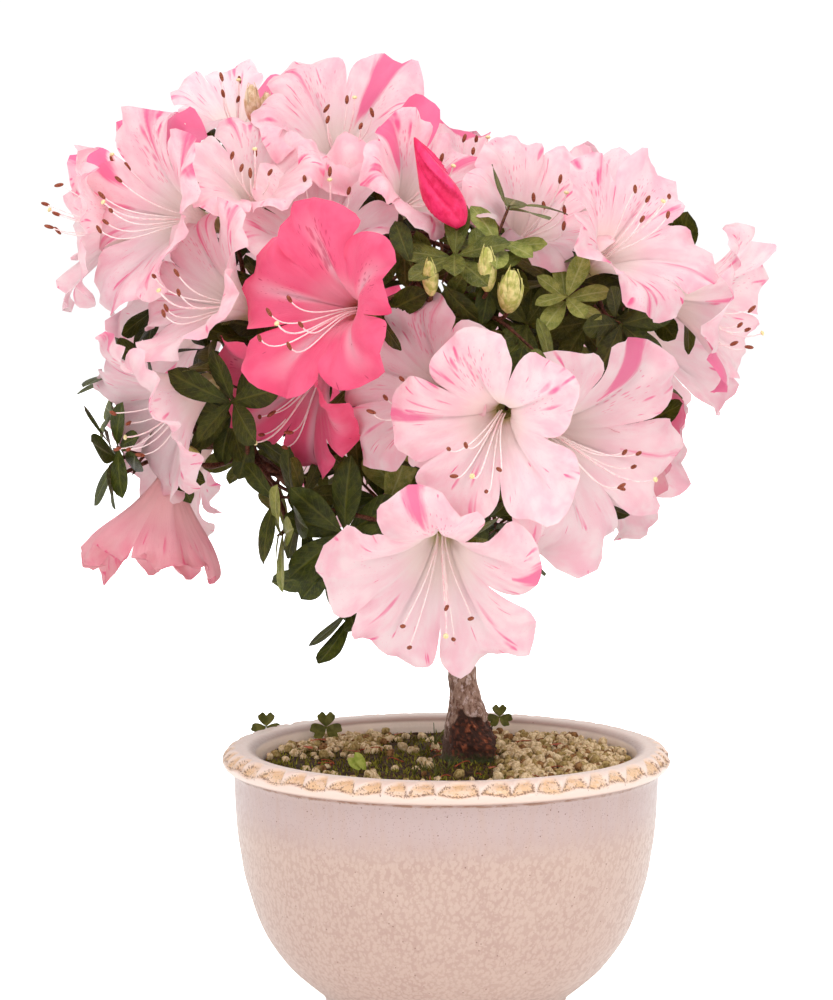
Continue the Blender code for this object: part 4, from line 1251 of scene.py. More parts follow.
def make_buds(crown, materials):
    furled = Gather(1)
    kinds = {"bud": Gather(80), "bud_beige": Gather(40)}
    for i, (tip, out, length, width) in enumerate(crown.buds):
        side, up = (np.array(part) for part in across(out))
        foot, axis = np.array(tip - out * length), np.array(out)
        if i == 0:
            furled.add(furled_bud(foot, axis, side, up, length, width), wrap=True)
            continue
        chance = random.Random(f"{SEED} bud scales {i}")
        gather = kinds["bud_beige" if i in BEIGE_BUDS else "bud"]
        core = blob(foot + axis * length * 0.47, axis, length * 0.94, width * 0.44, 14, 10)
        gather.add(core, wrap=True)
        for ring, (low, high, count) in enumerate(SCALE_RINGS):
            for k in range(count):
                turn = math.tau * (k + ring * 0.37) / count + chance.uniform(-0.15, 0.15)
                reach = high * chance.uniform(0.92, 1.04)
                scale = bud_scale(foot, axis, side, up, length, width, low, reach, turn)
                gather.add(scale, sheet=True)
    make_piece("bud_furled", furled, materials["crimson"])
    for kind, gather in kinds.items():
        make_piece(f"{kind}_scales", gather, materials[kind])


# Bark: fine tubes whose surface is moved in and out by fissures, flakes and lumps, with
# a knobbly burl round the trunk's foot and a grey snag over it.
BARK_PARTS = {"ridges": 0.42, "flakes": 0.50, "lumps": 0.7, "grit": 0.14}
BARK_DEPTH = {"trunk": 0.5, "bough": 0.45}
BARK_SUNK = 0.3
BURL_TOP = 117.0
BURL_FADE = 6.0
BURL_WRAP = 0.38
BURL_KNOBS = 0.40
BURL_SEEN = 12.0
SNAG_HEIGHT = 116.5
SNAG_TURN = 146.0
SNAG_RISE = 2.4
SNAG_SIZE = (2.6, 22)
ROOT_FADE = 5.0
TRUNK_FOOT = 94.0
TRUNK_COLUMNS = 96
TRUNK_RINGS = 260
BOUGH_COLUMNS = 30
BOUGH_RINGS = 70
BOUGH_COLLAR = (0.45, 14)


def bark_relief(point, strength):
    """How far the bark stands out at a point, in millimetres."""
    stretched = Vector((point.x * 0.55, point.y * 0.55, point.z * 0.16))
    ridges = 1 - abs(noise.noise(stretched)) * 2.4
    flakes = noise.fractal(point * 0.42, 0.7, 2.1, 4)
    lumps = noise.noise(point * 0.13 + Vector((7, 3, 1)))
    grit = noise.fractal(point * 1.5, 0.8, 2.0, 2)
    heights = (ridges, flakes, lumps, grit)
    return strength * sum(part * height for part, height in zip(BARK_PARTS.values(), heights))


def rough_limb(path, radii, columns, strength, shape=None):
    """A limb's grid of points with the relief of its bark, and of a shape over it."""
    grid = skin(path, radii, columns)
    middles = np.array([tuple(point) for point in path])[:, None, :]
    outward = grid - middles
    outward /= np.linalg.norm(outward, axis=-1)[..., None]
    for row in range(grid.shape[0]):
        for column in range(grid.shape[1]):
            point = Vector(grid[row, column])
            away = bark_relief(point, strength)
            if shape:
                away += shape(point, column * 360 / columns)
            grid[row, column] += outward[row, column] * away
    tip = np.repeat((middles[-1] * 2 - middles[-2]), columns, axis=0)
    closing = [tip + (grid[-1] - middles[-1]) * share for share in (0.7, 0.02)]
    return np.concatenate([grid, np.array(closing)])


def burl_at(point, degrees):
    """How much of the healed burl shows at a place on the trunk's foot, and its knobs."""
    facing = math.cos(math.radians(degrees - BURL_TURN))
    near = max(0.0, BURL_WRAP + (1 - BURL_WRAP) * facing)
    ragged = 5.0 * noise.noise(point * 0.2)
    high = smoothstep(BURL_TOP, BURL_TOP - BURL_FADE, point.z + ragged)
    pulled = Vector((point.x, point.y, point.z * 0.7)) * BURL_KNOBS
    bent = pulled + noise.noise_vector(point * 0.35) * 0.7
    cells = noise.voronoi(bent)[0]
    fibres = 1 - min(1.0, abs(noise.noise(bent * 2.6)) * 3.2)
    knob = min(1.0, (cells[1] - cells[0]) * 1.6) * 0.65 + fibres * 0.35
    return near ** 0.7 * float(high), knob


def burl_relief(point, degrees):
    """The knobs of the burl, the grey snag over it and the flare of the roots."""
    mask, knob = burl_at(point, degrees)
    tall, wide = SNAG_SIZE
    snag = math.exp(-((point.z - SNAG_HEIGHT) / tall) ** 2)
    snag *= math.exp(-((math.fmod(degrees - SNAG_TURN + 540, 360) - 180) / wide) ** 2)
    low = max(0.0, 1 - (point.z - TRUNK[0][0]) / ROOT_FADE)
    return mask * (2.4 * knob - 1.0) + SNAG_RISE * snag + low ** 2 * (0.6 + 1.4 * knob)


def make_trunk(material):
    """The trunk, with how much of the burl shows at each point of it."""
    rows = [(TRUNK_FOOT, *TRUNK[0][1:]), *TRUNK[1:]]
    z = TRUNK_FOOT + (rows[-1][0] - TRUNK_FOOT) * np.linspace(0, 1, TRUNK_RINGS + 1)
    path = np.stack([smooth_column(rows, 1, z), smooth_column(rows, 2, z), z], axis=-1)
    angles = 360 * np.arange(TRUNK_COLUMNS) / TRUNK_COLUMNS
    radii = []
    for height, radius in zip(z, smooth_column(rows, 3, z)):
        radii.append([trunk_radius(height, angle, radius) - BARK_SUNK for angle in angles])
    grid = rough_limb(path, radii, TRUNK_COLUMNS, BARK_DEPTH["trunk"], burl_relief)
    burl = np.zeros((len(grid), TRUNK_COLUMNS + 1, 3))
    for row in range(len(grid)):
        if grid[row, 0, 2] > BURL_TOP + BURL_SEEN:
            break
        for column in range(TRUNK_COLUMNS + 1):
            point = Vector(grid[row, column % TRUNK_COLUMNS])
            burl[row, column, :2] = burl_at(point, column * 360 / TRUNK_COLUMNS)
    trunk = Gather(1)
    trunk.add(grid, wrap=True, burl=burl)
    make_piece("bark_trunk", trunk, material, stands_for=["trunk"])


def make_boughs(material):
    boughs = Gather(len(BOUGHS))
    more, fade = BOUGH_COLLAR
    for name, (_, _, _, thick, thin, _) in BOUGHS.items():
        share = np.linspace(0, 1, BOUGH_RINGS + 1)
        radii = (thick + (thin - thick) * share) * (1 + more * np.exp(-share * fade))
        path = limb_path(name, BOUGH_RINGS)
        boughs.add(rough_limb(path, radii, BOUGH_COLUMNS, BARK_DEPTH["bough"]), wrap=True)
    make_piece("bark_boughs", boughs, material, stands_for=list(BOUGHS))


# Pot: its turned outline from the floor inside, over the rim, to the foot. Pools of
# ochre glaze are pressed side by side round the rim, with pale tongues between them.
POT_COLUMNS = 768
RIM_MARKS = 48
RIM_MARK_DEPTH = 1.5
RIM_SKEW = 0.7
RIM_ROWS = 60
BODY_ROWS = 40
POT_INSIDE = [(0.02, 12.0), (30.0, 12.0), (46.0, 16.0), (66.0, 44.0), (71.4, 76.0), (71.5, 92.0)]
POT_RIM = [
    (71.6, 98.2), (72.6, 101.0), (75.4, 102.5), (79.0, 102.6), (82.2, 101.7),
    (84.0, 99.9), (84.8, 97.9), (84.4, 96.2), (83.2, 95.1), (81.6, 94.5),
]
POT_BODY = [
    (80.8, 93.0), (80.5, 89.0), (80.1, 80.0), (79.3, 70.0), (78.1, 62.2), (76.8, 54.5),
    (74.6, 46.8), (72.1, 39.0), (68.5, 31.2), (63.3, 23.5), (60.1, 19.6), (55.9, 15.7),
    (51.3, 11.8), (47.7, 8.8), (46.3, 7.0), (45.9, 5.0), (45.7, 2.0), (45.2, 0.5),
]
POT_FOOT = [(44.0, 0.0), (40.0, 0.0), (38.6, 0.8), (38.0, 2.6), (37.6, 4.2)]


def smooth_line(points, steps):
    """A smooth line through points in a plane, evenly divided."""
    points = np.array(points, float)
    gaps = np.linalg.norm(np.diff(points, axis=0), axis=1)
    lengths = np.concatenate([[0], np.cumsum(gaps)])
    table = np.column_stack([lengths, points])
    places = np.linspace(0, lengths[-1], steps + 1)
    return np.column_stack([smooth_column(table, 1, places), smooth_column(table, 2, places)])


def make_pot(material):
    """The pot as one turned surface, with thumb marks pressed round its rim."""
    rim = smooth_line(POT_RIM, RIM_ROWS)
    body = smooth_line([POT_RIM[-1], *POT_BODY], BODY_ROWS)[1:]
    outline = np.concatenate([POT_INSIDE, rim, body, POT_FOOT])
    angles = math.tau * np.arange(POT_COLUMNS + 1) / POT_COLUMNS
    uneven = 0.16 * np.sin(angles * 7 + 1) + 0.12 * np.sin(angles * 13 + 4)
    depth = 1 + 0.22 * np.sin(angles * 5 + 2) + 0.16 * np.sin(angles * 11)
    foot = 0.74 + 0.03 * np.sin(angles * 29 + 2)
    radius = np.repeat(outline[:, :1], POT_COLUMNS + 1, axis=1)
    height = np.repeat(outline[:, 1:], POT_COLUMNS + 1, axis=1)
    pale, pool, crack = np.zeros_like(radius), np.zeros_like(radius), np.zeros_like(radius)
    for k, share in enumerate(np.linspace(0, 1, len(rim))):
        near = len(POT_INSIDE) + k
        zone = smoothstep(0.38, 0.48, share) * (1 - smoothstep(0.74, 0.86, share))
        part = np.mod(angles / math.tau * RIM_MARKS + uneven + RIM_SKEW * (share - 0.5), 1.0)
        off = np.abs(2 * part - 1)
        arch = 0.46 + 0.05 * (1 - depth) + 0.30 * off ** 2.2
        inner = smoothstep(arch - 0.03, arch + 0.05, share)
        pool[near] = inner * (1 - smoothstep(foot - 0.02, foot + 0.05, share))
        pale[near] = smoothstep(0.16, 0.32, share) * (1 - smoothstep(0.86, 0.96, share))
        side = np.exp(-((share - arch - 0.03) / 0.035) ** 2) * smoothstep(0.25, 0.75, off)
        under = 0.7 * np.exp(-((share - foot) / 0.03) ** 2) * (1 - smoothstep(0.6, 1.0, off))
        crack[near] = np.maximum(side, under) * zone
        press = RIM_MARK_DEPTH * depth * (0.30 - 0.80 * pool[near]) * zone
        ahead = outline[min(near + 1, len(outline) - 1)] - outline[near - 1]
        ahead /= np.linalg.norm(ahead)
        radius[near] += press * -ahead[1]
        height[near] += press * ahead[0]
    gather = Gather(1)
    points = turned(radius, angles, height)[:, :-1]
    gather.add(points, wrap=True, rim=np.stack([pale, pool, crack], axis=-1))
    make_piece("pot_glazed", gather, material, stands_for=["pot"])


# Soil: a bumpy top, grit in three colours, moss, and the small things that seed in it.
SOIL_BED = 95.9
SOIL_EDGE = 70.6
SOIL_RINGS = 70
SOIL_COLUMNS = 160
SOIL_ROUGH = 0.7
TRUNK_ROOM = 11
TRUNK_MIDDLE = 8
GRAINS = {"pale": 560, "green": 240, "brown": 120}
GRAIN_SIZE = (1.0, 2.1)
GRAIN_EDGE = 1.5
GRAIN_BUMP = 0.45
MOSS_BLADES = 2600
MOSS_HEIGHT = (1.0, 2.6)
MOSS_EDGE = 2
# A blade of moss: shares of its height, and half its width there.
MOSS_BLADE = ((0.0, 0.28), (0.6, 0.24), (1.0, 0.03))
UPRIGHT = Vector((0, 0, 1))


def soil_height(x, y):
    at = Vector((x * 0.06, y * 0.06, 3.0))
    mound = 1.4 * math.exp(-((x - TRUNK_MIDDLE) ** 2 + y ** 2) / 420)
    heap = 1.6 * float(smoothstep(24, 50, x) * smoothstep(-20, 30, y))
    return SOIL_BED + mound + heap + 0.9 * noise.noise(at) + 0.5 * noise.noise(at * 4)


def on_soil(x, y, over=0.0):
    return Vector((x, y, soil_height(x, y) + over))


def gritty(x, y):
    """How far a place is from moss, from 0 in the moss to 1 where the grit is bare."""
    right = smoothstep(14, 30, x) * smoothstep(-64, -36, y - x * 0.35)
    back_left = smoothstep(-14, -34, x) * smoothstep(8, 40, y)
    patch = noise.noise(Vector((x * 0.05, y * 0.05, 9)))
    return float(np.clip(max(right, back_left) + patch * 0.35, 0.03, 1))


def scatter(chance, reach):
    """A seeded place on the soil, within a reach of its middle."""
    radius = reach * math.sqrt(chance.random())
    angle = any_turn(chance)
    return radius * math.cos(angle), radius * math.sin(angle)


def make_soil(material):
    bed = Gather(1)
    radii = SOIL_EDGE * np.linspace(0.002, 1, SOIL_RINGS)
    angles = math.tau * np.arange(SOIL_COLUMNS) / SOIL_COLUMNS
    grid = np.zeros((SOIL_RINGS, SOIL_COLUMNS, 3))
    for row, radius in enumerate(radii):
        for column, angle in enumerate(angles):
            x, y = radius * math.cos(angle), radius * math.sin(angle)
            rough = SOIL_ROUGH * noise.fractal(Vector((x, y, 0)) * 0.35, 0.8, 2.0, 3)
            grid[row, column] = on_soil(x, y, rough)
    bed.add(grid, wrap=True)
    make_piece("soil_bed", bed, material, stands_for=["soil"])


def grain(centre, size, chance):
    """One lump of grit, faceted by a coarse noise."""
    ahead = random_vector(chance).normalized()
    grid = blob(centre, ahead, size * 2 * chance.uniform(0.85, 1.2), size, 7, 5)
    middle = np.array(centre)
    shift = random_vector(chance, 0, 90)
    for row in range(grid.shape[0]):
        for column in range(grid.shape[1]):
            away = grid[row, column] - middle
            bump = noise.noise(Vector(away) / size * 1.3 + shift)
            grid[row, column] = middle + away * (1 + GRAIN_BUMP * bump)
    return grid


def make_grit(materials):
    chance = random.Random(f"{SEED} ground")
    for kind, count in GRAINS.items():
        grains = Gather(count)
        while grains.used < count:
            x, y = scatter(chance, SOIL_EDGE - GRAIN_EDGE)
            if chance.random() > gritty(x, y) or math.hypot(x - TRUNK_MIDDLE, y) < TRUNK_ROOM:
                continue
            size = chance.uniform(*GRAIN_SIZE)
            centre = on_soil(x, y, size * chance.uniform(-0.1, 1.0))
            grains.add(grain(centre, size, chance), wrap=True)
        make_piece(f"grit_{kind}", grains, materials[f"grit_{kind}"])


# Seeded things on the soil, worked out from their places in the photograph: clovers by
# foot, top and size, a sprout of two blades by the turn of each, sprigs by foot and
# height, and fallen husks by foot, length and turn.
CLOVERS = [
    ((-49, 50), (-71, 49, 102.0), 6.2), ((-50, 45), (-47, 44, 102.6), 6.6),
    ((17, 61), (22, 58, 104.5), 5.4),
]
CLOVER_STALK = 0.32
SPROUT_FOOT = (-30, -18, 95.5)
SPROUT_TIP = (-36, -19, 102.5)
SPROUT_TURNS = (-24, 20)
SPROUT_LENGTH = 8.6
SPRIGS = [
    ((-8, -24), 7), ((-4, -30), 8), ((-4, 30), 13), ((-12, -28), 6), ((0, -26), 9), ((-9, 12), 7),
]
SPRIG_STEMS = 6
HUSKS = [
    ((-53, 37), 11.0, 12), ((-56, 22), 6.0, -40), ((-20, 50), 8.0, 60), ((40, 20), 6.5, 10),
    ((16, -30), 7.0, 80), ((-34, 12), 7.5, 150),
]
HUSK_LIFT = 2.6
HUSK_THREADS = 26
HUSK_REACH = 50
THREAD_LENGTH = (5, 13)


def leaning(chance, most):
    """A direction that leans from upright by chance."""
    return Vector((chance.uniform(-most, most), chance.uniform(-most, most), 1)).normalized()


def any_level(chance, height):
    return Vector((chance.uniform(-1, 1), chance.uniform(-1, 1), height))


def make_moss(chance, material):
    moss = Gather(MOSS_BLADES)
    for _ in range(MOSS_BLADES):
        x, y = scatter(chance, SOIL_EDGE - MOSS_EDGE)
        while chance.random() <= gritty(x, y) * 1.05:
            x, y = scatter(chance, SOIL_EDGE - MOSS_EDGE)
        root = on_soil(x, y, -0.2)
        lean = leaning(chance, 0.6)
        height = chance.uniform(*MOSS_HEIGHT)
        wide = lean.cross(any_level(chance, 0.1)).normalized()
        blade = []
        for share, half in MOSS_BLADE:
            middle = root + lean * height * share
            blade.append([tuple(middle - wide * half), tuple(middle + wide * half)])
        moss.add(np.array(blade), sheet=True)
    make_piece("moss", moss, material)


def make_seedlings(chance, material):
    """The clovers, and the sprigs of thin stems."""
    clover = Gather(len(CLOVERS) * 4 + len(SPRIGS) * SPRIG_STEMS + 2)
    for (x, y), top, size in CLOVERS:
        foot, top = on_soil(x, y, -1), Vector(top)
        path = sweep(foot, UPRIGHT, (top - foot).normalized(), top, 10)
        clover.add(skin(path, np.full(11, CLOVER_STALK), 5), wrap=True, leaf=(0, 0, 0))
        for k in range(3):
            turn = math.tau * k / 3 + math.pi / 2
            ahead = Vector((math.cos(turn), math.sin(turn) * 0.5, math.sin(turn) * 0.85))
            points, u, v = heart(top, ahead, Vector((0, -0.85, 0.5)), size)
            clover.add(points, sheet=True, leaf=np.stack([u, v, 0 * u + k], axis=-1))
    for (x, y), size in SPRIGS:
        foot = on_soil(x, y, -0.5)
        for _ in range(SPRIG_STEMS):
            lean = leaning(chance, 0.7)
            end = foot + lean * size * chance.uniform(0.5, 1)
            path = sweep(foot, UPRIGHT, lean, end, 6)
            clover.add(skin(path, np.linspace(0.35, 0.12, 7), 4), wrap=True, leaf=(0, 0, 0))
    make_piece("seedlings", clover, material)


def make_sprout(chance, material):
    sprout = Gather(len(SPROUT_TURNS))
    foot, tip = Vector(SPROUT_FOOT), Vector(SPROUT_TIP)
    for turn in SPROUT_TURNS:
        ahead = tip - foot + Vector((turn * 0.12, 0, 0))
        blade = (foot, ahead, Vector((0.2, -1, 0.3)), SPROUT_LENGTH, 0.8)
        sprout.add(leaf_grid(*blade, chance)[0], sheet=True)
    make_piece("sprout", sprout, material)


def make_husks(chance, material):
    """Fallen leaves, and dry threads between them."""
    husks = Gather(len(HUSKS) + HUSK_THREADS)
    for (x, y), length, turn in HUSKS:
        turn = math.radians(turn)
        ahead = Vector((math.cos(turn), math.sin(turn), 0.1))
        husk = (on_soil(x, y, HUSK_LIFT), ahead, UPRIGHT, length, length * 0.12)
        husks.add(leaf_grid(*husk, chance)[0], sheet=True)
    for _ in range(HUSK_THREADS):
        start = on_soil(*scatter(chance, HUSK_REACH), 0.6)
        level = any_level(chance, 0)
        leave = (level + Vector((0, 0, chance.uniform(0, 0.8)))).normalized()
        arrive = any_level(chance, -0.4).normalized()
        end = start + leave * chance.uniform(*THREAD_LENGTH)
        end = on_soil(end.x, end.y, chance.uniform(0.4, 1.2))
        path = sweep(start, leave, arrive, end, 12)
        husks.add(skin(path, np.linspace(0.32, 0.15, 13), 5), wrap=True)
    make_piece("husks", husks, material)


def heart(root, ahead, face, size):
    """Points of a heart-shaped leaflet."""
    axes = [np.array(part) for part in leaf_axes(ahead, face)]
    v = np.linspace(0, 1, 7)[:, None]
    u = np.linspace(-1, 1, 9)
    half = size * 0.55 * np.sin(np.clip(v, 0, 1) ** 0.9 * 0.72 * math.pi) * np.ones_like(u)
    notch = 1 - 0.24 * np.exp(-(u / 0.3) ** 2) * v ** 3
    length = size * v * notch * np.sqrt(1 - 0.35 * u ** 4 * v ** 3)
    points = lay_out(root, axes, (length, half * u, 0.22 * np.abs(u) * half))
    return points, np.broadcast_to(u, half.shape), np.broadcast_to(v, half.shape)


# The base of the pot, drilled by its three drain holes.
BASE_RADIUS = 37.9
BASE_HEIGHTS = (3.2, 11.6)
BASE_ROUNDING = 0.5
DRAIN_RADIUS = 5.0
DRAIN_REACH = 26.0
DRAINS = 3
DRILL_HEIGHTS = (-4.0, 20.0)


def solid_disc(name, radius, low, high, place=(0.0, 0.0), columns=64):
    """A closed disc with softened edges."""
    inset = radius - BASE_ROUNDING
    outline = [
        (0.02, low), (inset, low), (radius, low + BASE_ROUNDING),
        (radius, high - BASE_ROUNDING), (inset, high), (0.02, high),
    ]
    angles = math.tau * np.arange(columns) / columns
    grid = np.array([turned(reach, angles, z) for reach, z in outline])
    gather = Gather(1)
    gather.add(grid + (*place, 0.0), wrap=True, sheet=True)
    return add_object(name, gather.mesh(name))


def make_pot_base(material):
    base = solid_disc("pot_base", BASE_RADIUS, *BASE_HEIGHTS)
    drills = []
    for i in range(DRAINS):
        angle = math.tau * (i / DRAINS + 0.25)
        place = (DRAIN_REACH * math.cos(angle), DRAIN_REACH * math.sin(angle))
        drill = solid_disc(f"drain_drill_{i}", DRAIN_RADIUS, *DRILL_HEIGHTS, place, 40)
        cut = base.modifiers.new(f"drain {i}", "BOOLEAN")
        cut.operation = "DIFFERENCE"
        cut.object = drill
        drills.append(drill)
    bpy.context.view_layer.update()
    shaped = base.evaluated_get(bpy.context.evaluated_depsgraph_get())
    mesh = bpy.data.meshes.new_from_object(shaped)
    base.modifiers.clear()
    base.data = mesh
    mesh.materials.clear()
    mesh.materials.append(material)
    for drill in drills:
        bpy.data.objects.remove(drill)
    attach(base, BODY)


# Materials. Colours are told as they look on a screen, from 0 to 255.
def tone(red, green, blue):
    """The colour of a pigment as a shader takes it."""
    levels = []
    for level in (red, green, blue):
        share = level / 255
        levels.append(share / 12.92 if share <= 0.04045 else ((share + 0.055) / 1.055) ** 2.4)
    return (*levels, 1.0)


class Board:
    """A node tree as it is wired up."""

    def __init__(self, tree):
        self.tree = tree

    def add(self, kind, **settings):
        node = self.tree.nodes.new(kind)
        for key, value in settings.items():
            setattr(node, key, value)
        return node

    def feed(self, socket, value):
        if isinstance(value, bpy.types.NodeSocket):
            self.tree.links.new(value, socket)
        else:
            socket.default_value = value

    def math(self, operation, *values):
        node = self.add("ShaderNodeMath", operation=operation)
        for socket, value in zip(node.inputs, values):
            self.feed(socket, value)
        return node.outputs[0]

    def times(self, first, second):
        return self.math("MULTIPLY", first, second)

    def ramp(self, value, slope, start):
        """A value times a slope, added to a start."""
        return self.math("MULTIPLY_ADD", value, slope, start)

    def fade(self, value, low, high, start=0.0, end=1.0):
        """A soft step of a value between two levels."""
        node = self.add("ShaderNodeMapRange", interpolation_type="SMOOTHSTEP")
        for socket, entry in zip(node.inputs, (value, low, high, start, end)):
            self.feed(socket, entry)
        return node.outputs[0]

    def mix(self, share, first, second, kind="MIX"):
        node = self.add("ShaderNodeMix", data_type="RGBA", blend_type=kind)
        self.feed(node.inputs[0], share)
        self.feed(node.inputs[6], first)
        self.feed(node.inputs[7], second)
        return node.outputs[2]

    def join(self, x, y, z):
        node = self.add("ShaderNodeCombineXYZ")
        for socket, value in zip(node.inputs, (x, y, z)):
            self.feed(socket, value)
        return node.outputs[0]

    def split(self, vector):
        node = self.add("ShaderNodeSeparateXYZ")
        self.feed(node.inputs[0], vector)
        return node.outputs

    def trait(self, name):
        """The three numbers that a mesh carries under a name."""
        node = self.add("ShaderNodeAttribute", attribute_name=name)
        return self.split(node.outputs["Vector"])

    def scaled(self, vector, factor):
        node = self.add("ShaderNodeVectorMath", operation="SCALE")
        self.feed(node.inputs[0], vector)
        node.inputs["Scale"].default_value = factor
        return node.outputs[0]

    def place(self):
        """Where a point lies, in millimetres."""
        return self.scaled(self.add("ShaderNodeTexCoord").outputs["Object"], 1 / MM)

    def noise(self, vector, detail=3.0, roughness=0.55, warp=0.0):
        node = self.add("ShaderNodeTexNoise")
        self.feed(node.inputs["Vector"], vector)
        node.inputs["Scale"].default_value = 1.0
        self.feed(node.inputs["Detail"], detail)
        node.inputs["Roughness"].default_value = roughness
        self.feed(node.inputs["Distortion"], warp)
        return node.outputs[0]

    def dots(self, vector, flat=False):
        """The distance to the nearest of some scattered points."""
        node = self.add("ShaderNodeTexVoronoi", voronoi_dimensions="2D" if flat else "3D")
        self.feed(node.inputs["Vector"], vector)
        node.inputs["Scale"].default_value = 1.0
        return node.outputs["Distance"]

    def group(self, tree, **values):
        node = self.add("ShaderNodeGroup", node_tree=tree)
        for label, value in values.items():
            self.feed(node.inputs[label.replace("_", " ").title()], value)
        return node.outputs

    def bump(self, height, strength, depth):
        node = self.add("ShaderNodeBump")
        node.inputs["Strength"].default_value = strength
        node.inputs["Distance"].default_value = depth
        self.feed(node.inputs["Height"], height)
        return node.outputs[0]


def new_group(name, entries, results):
    """A shader node group with named number sockets."""
    tree = bpy.data.node_groups.new(name, "ShaderNodeTree")
    for label, value in entries.items():
        socket = tree.interface.new_socket(name=label, in_out="INPUT", socket_type="NodeSocketFloat")
        socket.default_value = value
    for label in results:
        tree.interface.new_socket(name=label, in_out="OUTPUT", socket_type="NodeSocketFloat")
    board = Board(tree)
    return board, board.add("NodeGroupInput").outputs, board.add("NodeGroupOutput").inputs


def mottle_group():
    """Uneven patches: a mask between two levels of a noise, and the noise as a height."""
    entries = {"Scale": 0.5, "Upright Scale": 0.5, "Low": 0.45, "High": 0.6, "Shift": 0.0}
    entries.update({"Warp": 0.0, "Detail": 4.0})
    board, given, result = new_group("mottle", entries, ["Mask", "Height"])
    x, y, z = board.split(board.place())
    x = board.ramp(x, given["Scale"], given["Shift"])
    y = board.times(y, given["Scale"])
    z = board.times(z, given["Upright Scale"])
    height = board.noise(board.join(x, y, z), given["Detail"], 0.6, given["Warp"])
    board.feed(result["Mask"], board.fade(height, given["Low"], given["High"]))
    board.feed(result["Height"], height)
    return board.tree


# Kinds of marks on a petal: how often they come across and along a lobe, their size
# for each unit that a colour asks for, and a shift that sets the kinds apart.
MARKS = {
    "Dashes": (3.9, 2.1, 0.35, 0.0),
    "Streaks": (5.4, 1.05, 0.31, 5.0),
    "Specks": (20.0, 16.0, 0.15, 9.0),
    "Blotch": (13.0, 10.0, 0.40, 2.0),
}
LEAST_MARK = 0.001
SPECK_INK = 0.45
BLOTCH_INK = 0.6
BAND_INK = 0.88
BAND_TAPER = 0.30
BAND_WOBBLE = 0.22
# Where marks start to show on the way from the throat to the rim.
OUTER_PART = (0.46, 0.62)


def petal_ink_group():
    """The pink dashes, specks, streaks and bands of a petal, and the lift of its veins.

    Across runs from -1 to 1 over a lobe and Along from the foot to the rim.
    """
    entries = {
        "Across": 0.0, "Along": 0.5, "Seed": 0.0, "Dashes": 0.3, "Streaks": 0.2, "Specks": 0.3,
        "Blotch": 0.0, "Band Middle": 0.0, "Band Width": 0.0, "Band Start": 1.0,
    }
    board, given, result = new_group("petal_ink", entries, ["Ink", "Flush", "Height"])
    u, s, seed = given["Across"], given["Along"], given["Seed"]

    def either(first, second):
        return board.math("MAXIMUM", first, second)

    def patches(across, along, layer, detail=3.0):
        """A noise over the lobe, drawn out along it by the second number."""
        return board.noise(board.join(across, board.times(s, along), layer), detail)

    def sized(kind, wanted):
        return board.times(wanted, MARKS[kind][2])

    def marks(kind, size):
        """Long spots whose size is a number or changes over the lobe."""
        across, along, _, shift = MARKS[kind]
        across = board.ramp(u, across, seed)
        along = board.ramp(s, along, board.ramp(seed, 3.7, shift))
        spots = board.dots(board.join(across, along, 0.0), flat=True)
        return board.fade(spots, size, board.times(size, 0.25))

    def band():
        """A broad band along the lobe with a wobbly edge."""
        wobble = patches(board.times(u, 14.0), 3.0, seed, 4.0)
        wobble = board.times(board.math("SUBTRACT", wobble, 0.5), BAND_WOBBLE)
        from_middle = board.math("ABSOLUTE", board.math("SUBTRACT", u, given["Band Middle"]))
        start = given["Band Start"]
        taper = board.fade(s, start, board.math("ADD", start, BAND_TAPER))
        width = board.times(given["Band Width"], taper)
        edge = board.math("SUBTRACT", board.math("ADD", width, wobble), from_middle)
        present = board.math("GREATER_THAN", board.times(width, taper), 0.004)
        return board.times(board.times(board.fade(edge, -0.04, 0.09), present), BAND_INK)

    drift = patches(board.ramp(u, 1.4, seed), 2.2, seed)
    busy = board.fade(drift, 0.44, 0.66)
    long_marks = []
    for kind in ("Dashes", "Streaks"):
        size = board.times(sized(kind, given[kind]), busy)
        long_marks.append(marks(kind, either(size, LEAST_MARK)))
    specks = board.times(marks("Specks", sized("Specks", given["Specks"])), SPECK_INK)
    ink = either(either(*long_marks), board.times(specks, board.fade(drift, 0.36, 0.55)))
    uneven = patches(board.ramp(u, 4.0, seed), 4.0, 2.0)
    ink = board.times(ink, board.fade(uneven, 0.30, 0.62, 0.35, 0.95))
    ink = either(board.times(ink, board.fade(s, *OUTER_PART)), band())

    middle = board.fade(board.math("ABSOLUTE", u), 0.62, 0.15)
    ray = board.times(board.fade(s, 0.40, 0.50), board.fade(s, 0.90, 0.66))
    blotch = board.times(board.times(middle, ray), given["Blotch"])
    blotch = marks("Blotch", either(sized("Blotch", blotch), LEAST_MARK))
    board.feed(result["Ink"], either(ink, board.times(blotch, BLOTCH_INK)))
    clouds = patches(board.ramp(u, 2.2, seed), 3.4, 7.0)
    board.feed(result["Flush"], board.fade(clouds, 0.36, 0.66))

    fan = board.ramp(u, 15.0, board.times(drift, 3.0))
    veins = board.times(board.math("SINE", fan), 0.35)
    crepe = patches(board.times(u, 22.0), 18.0, seed)
    board.feed(result["Height"], board.math("ADD", veins, crepe))
    return board.tree


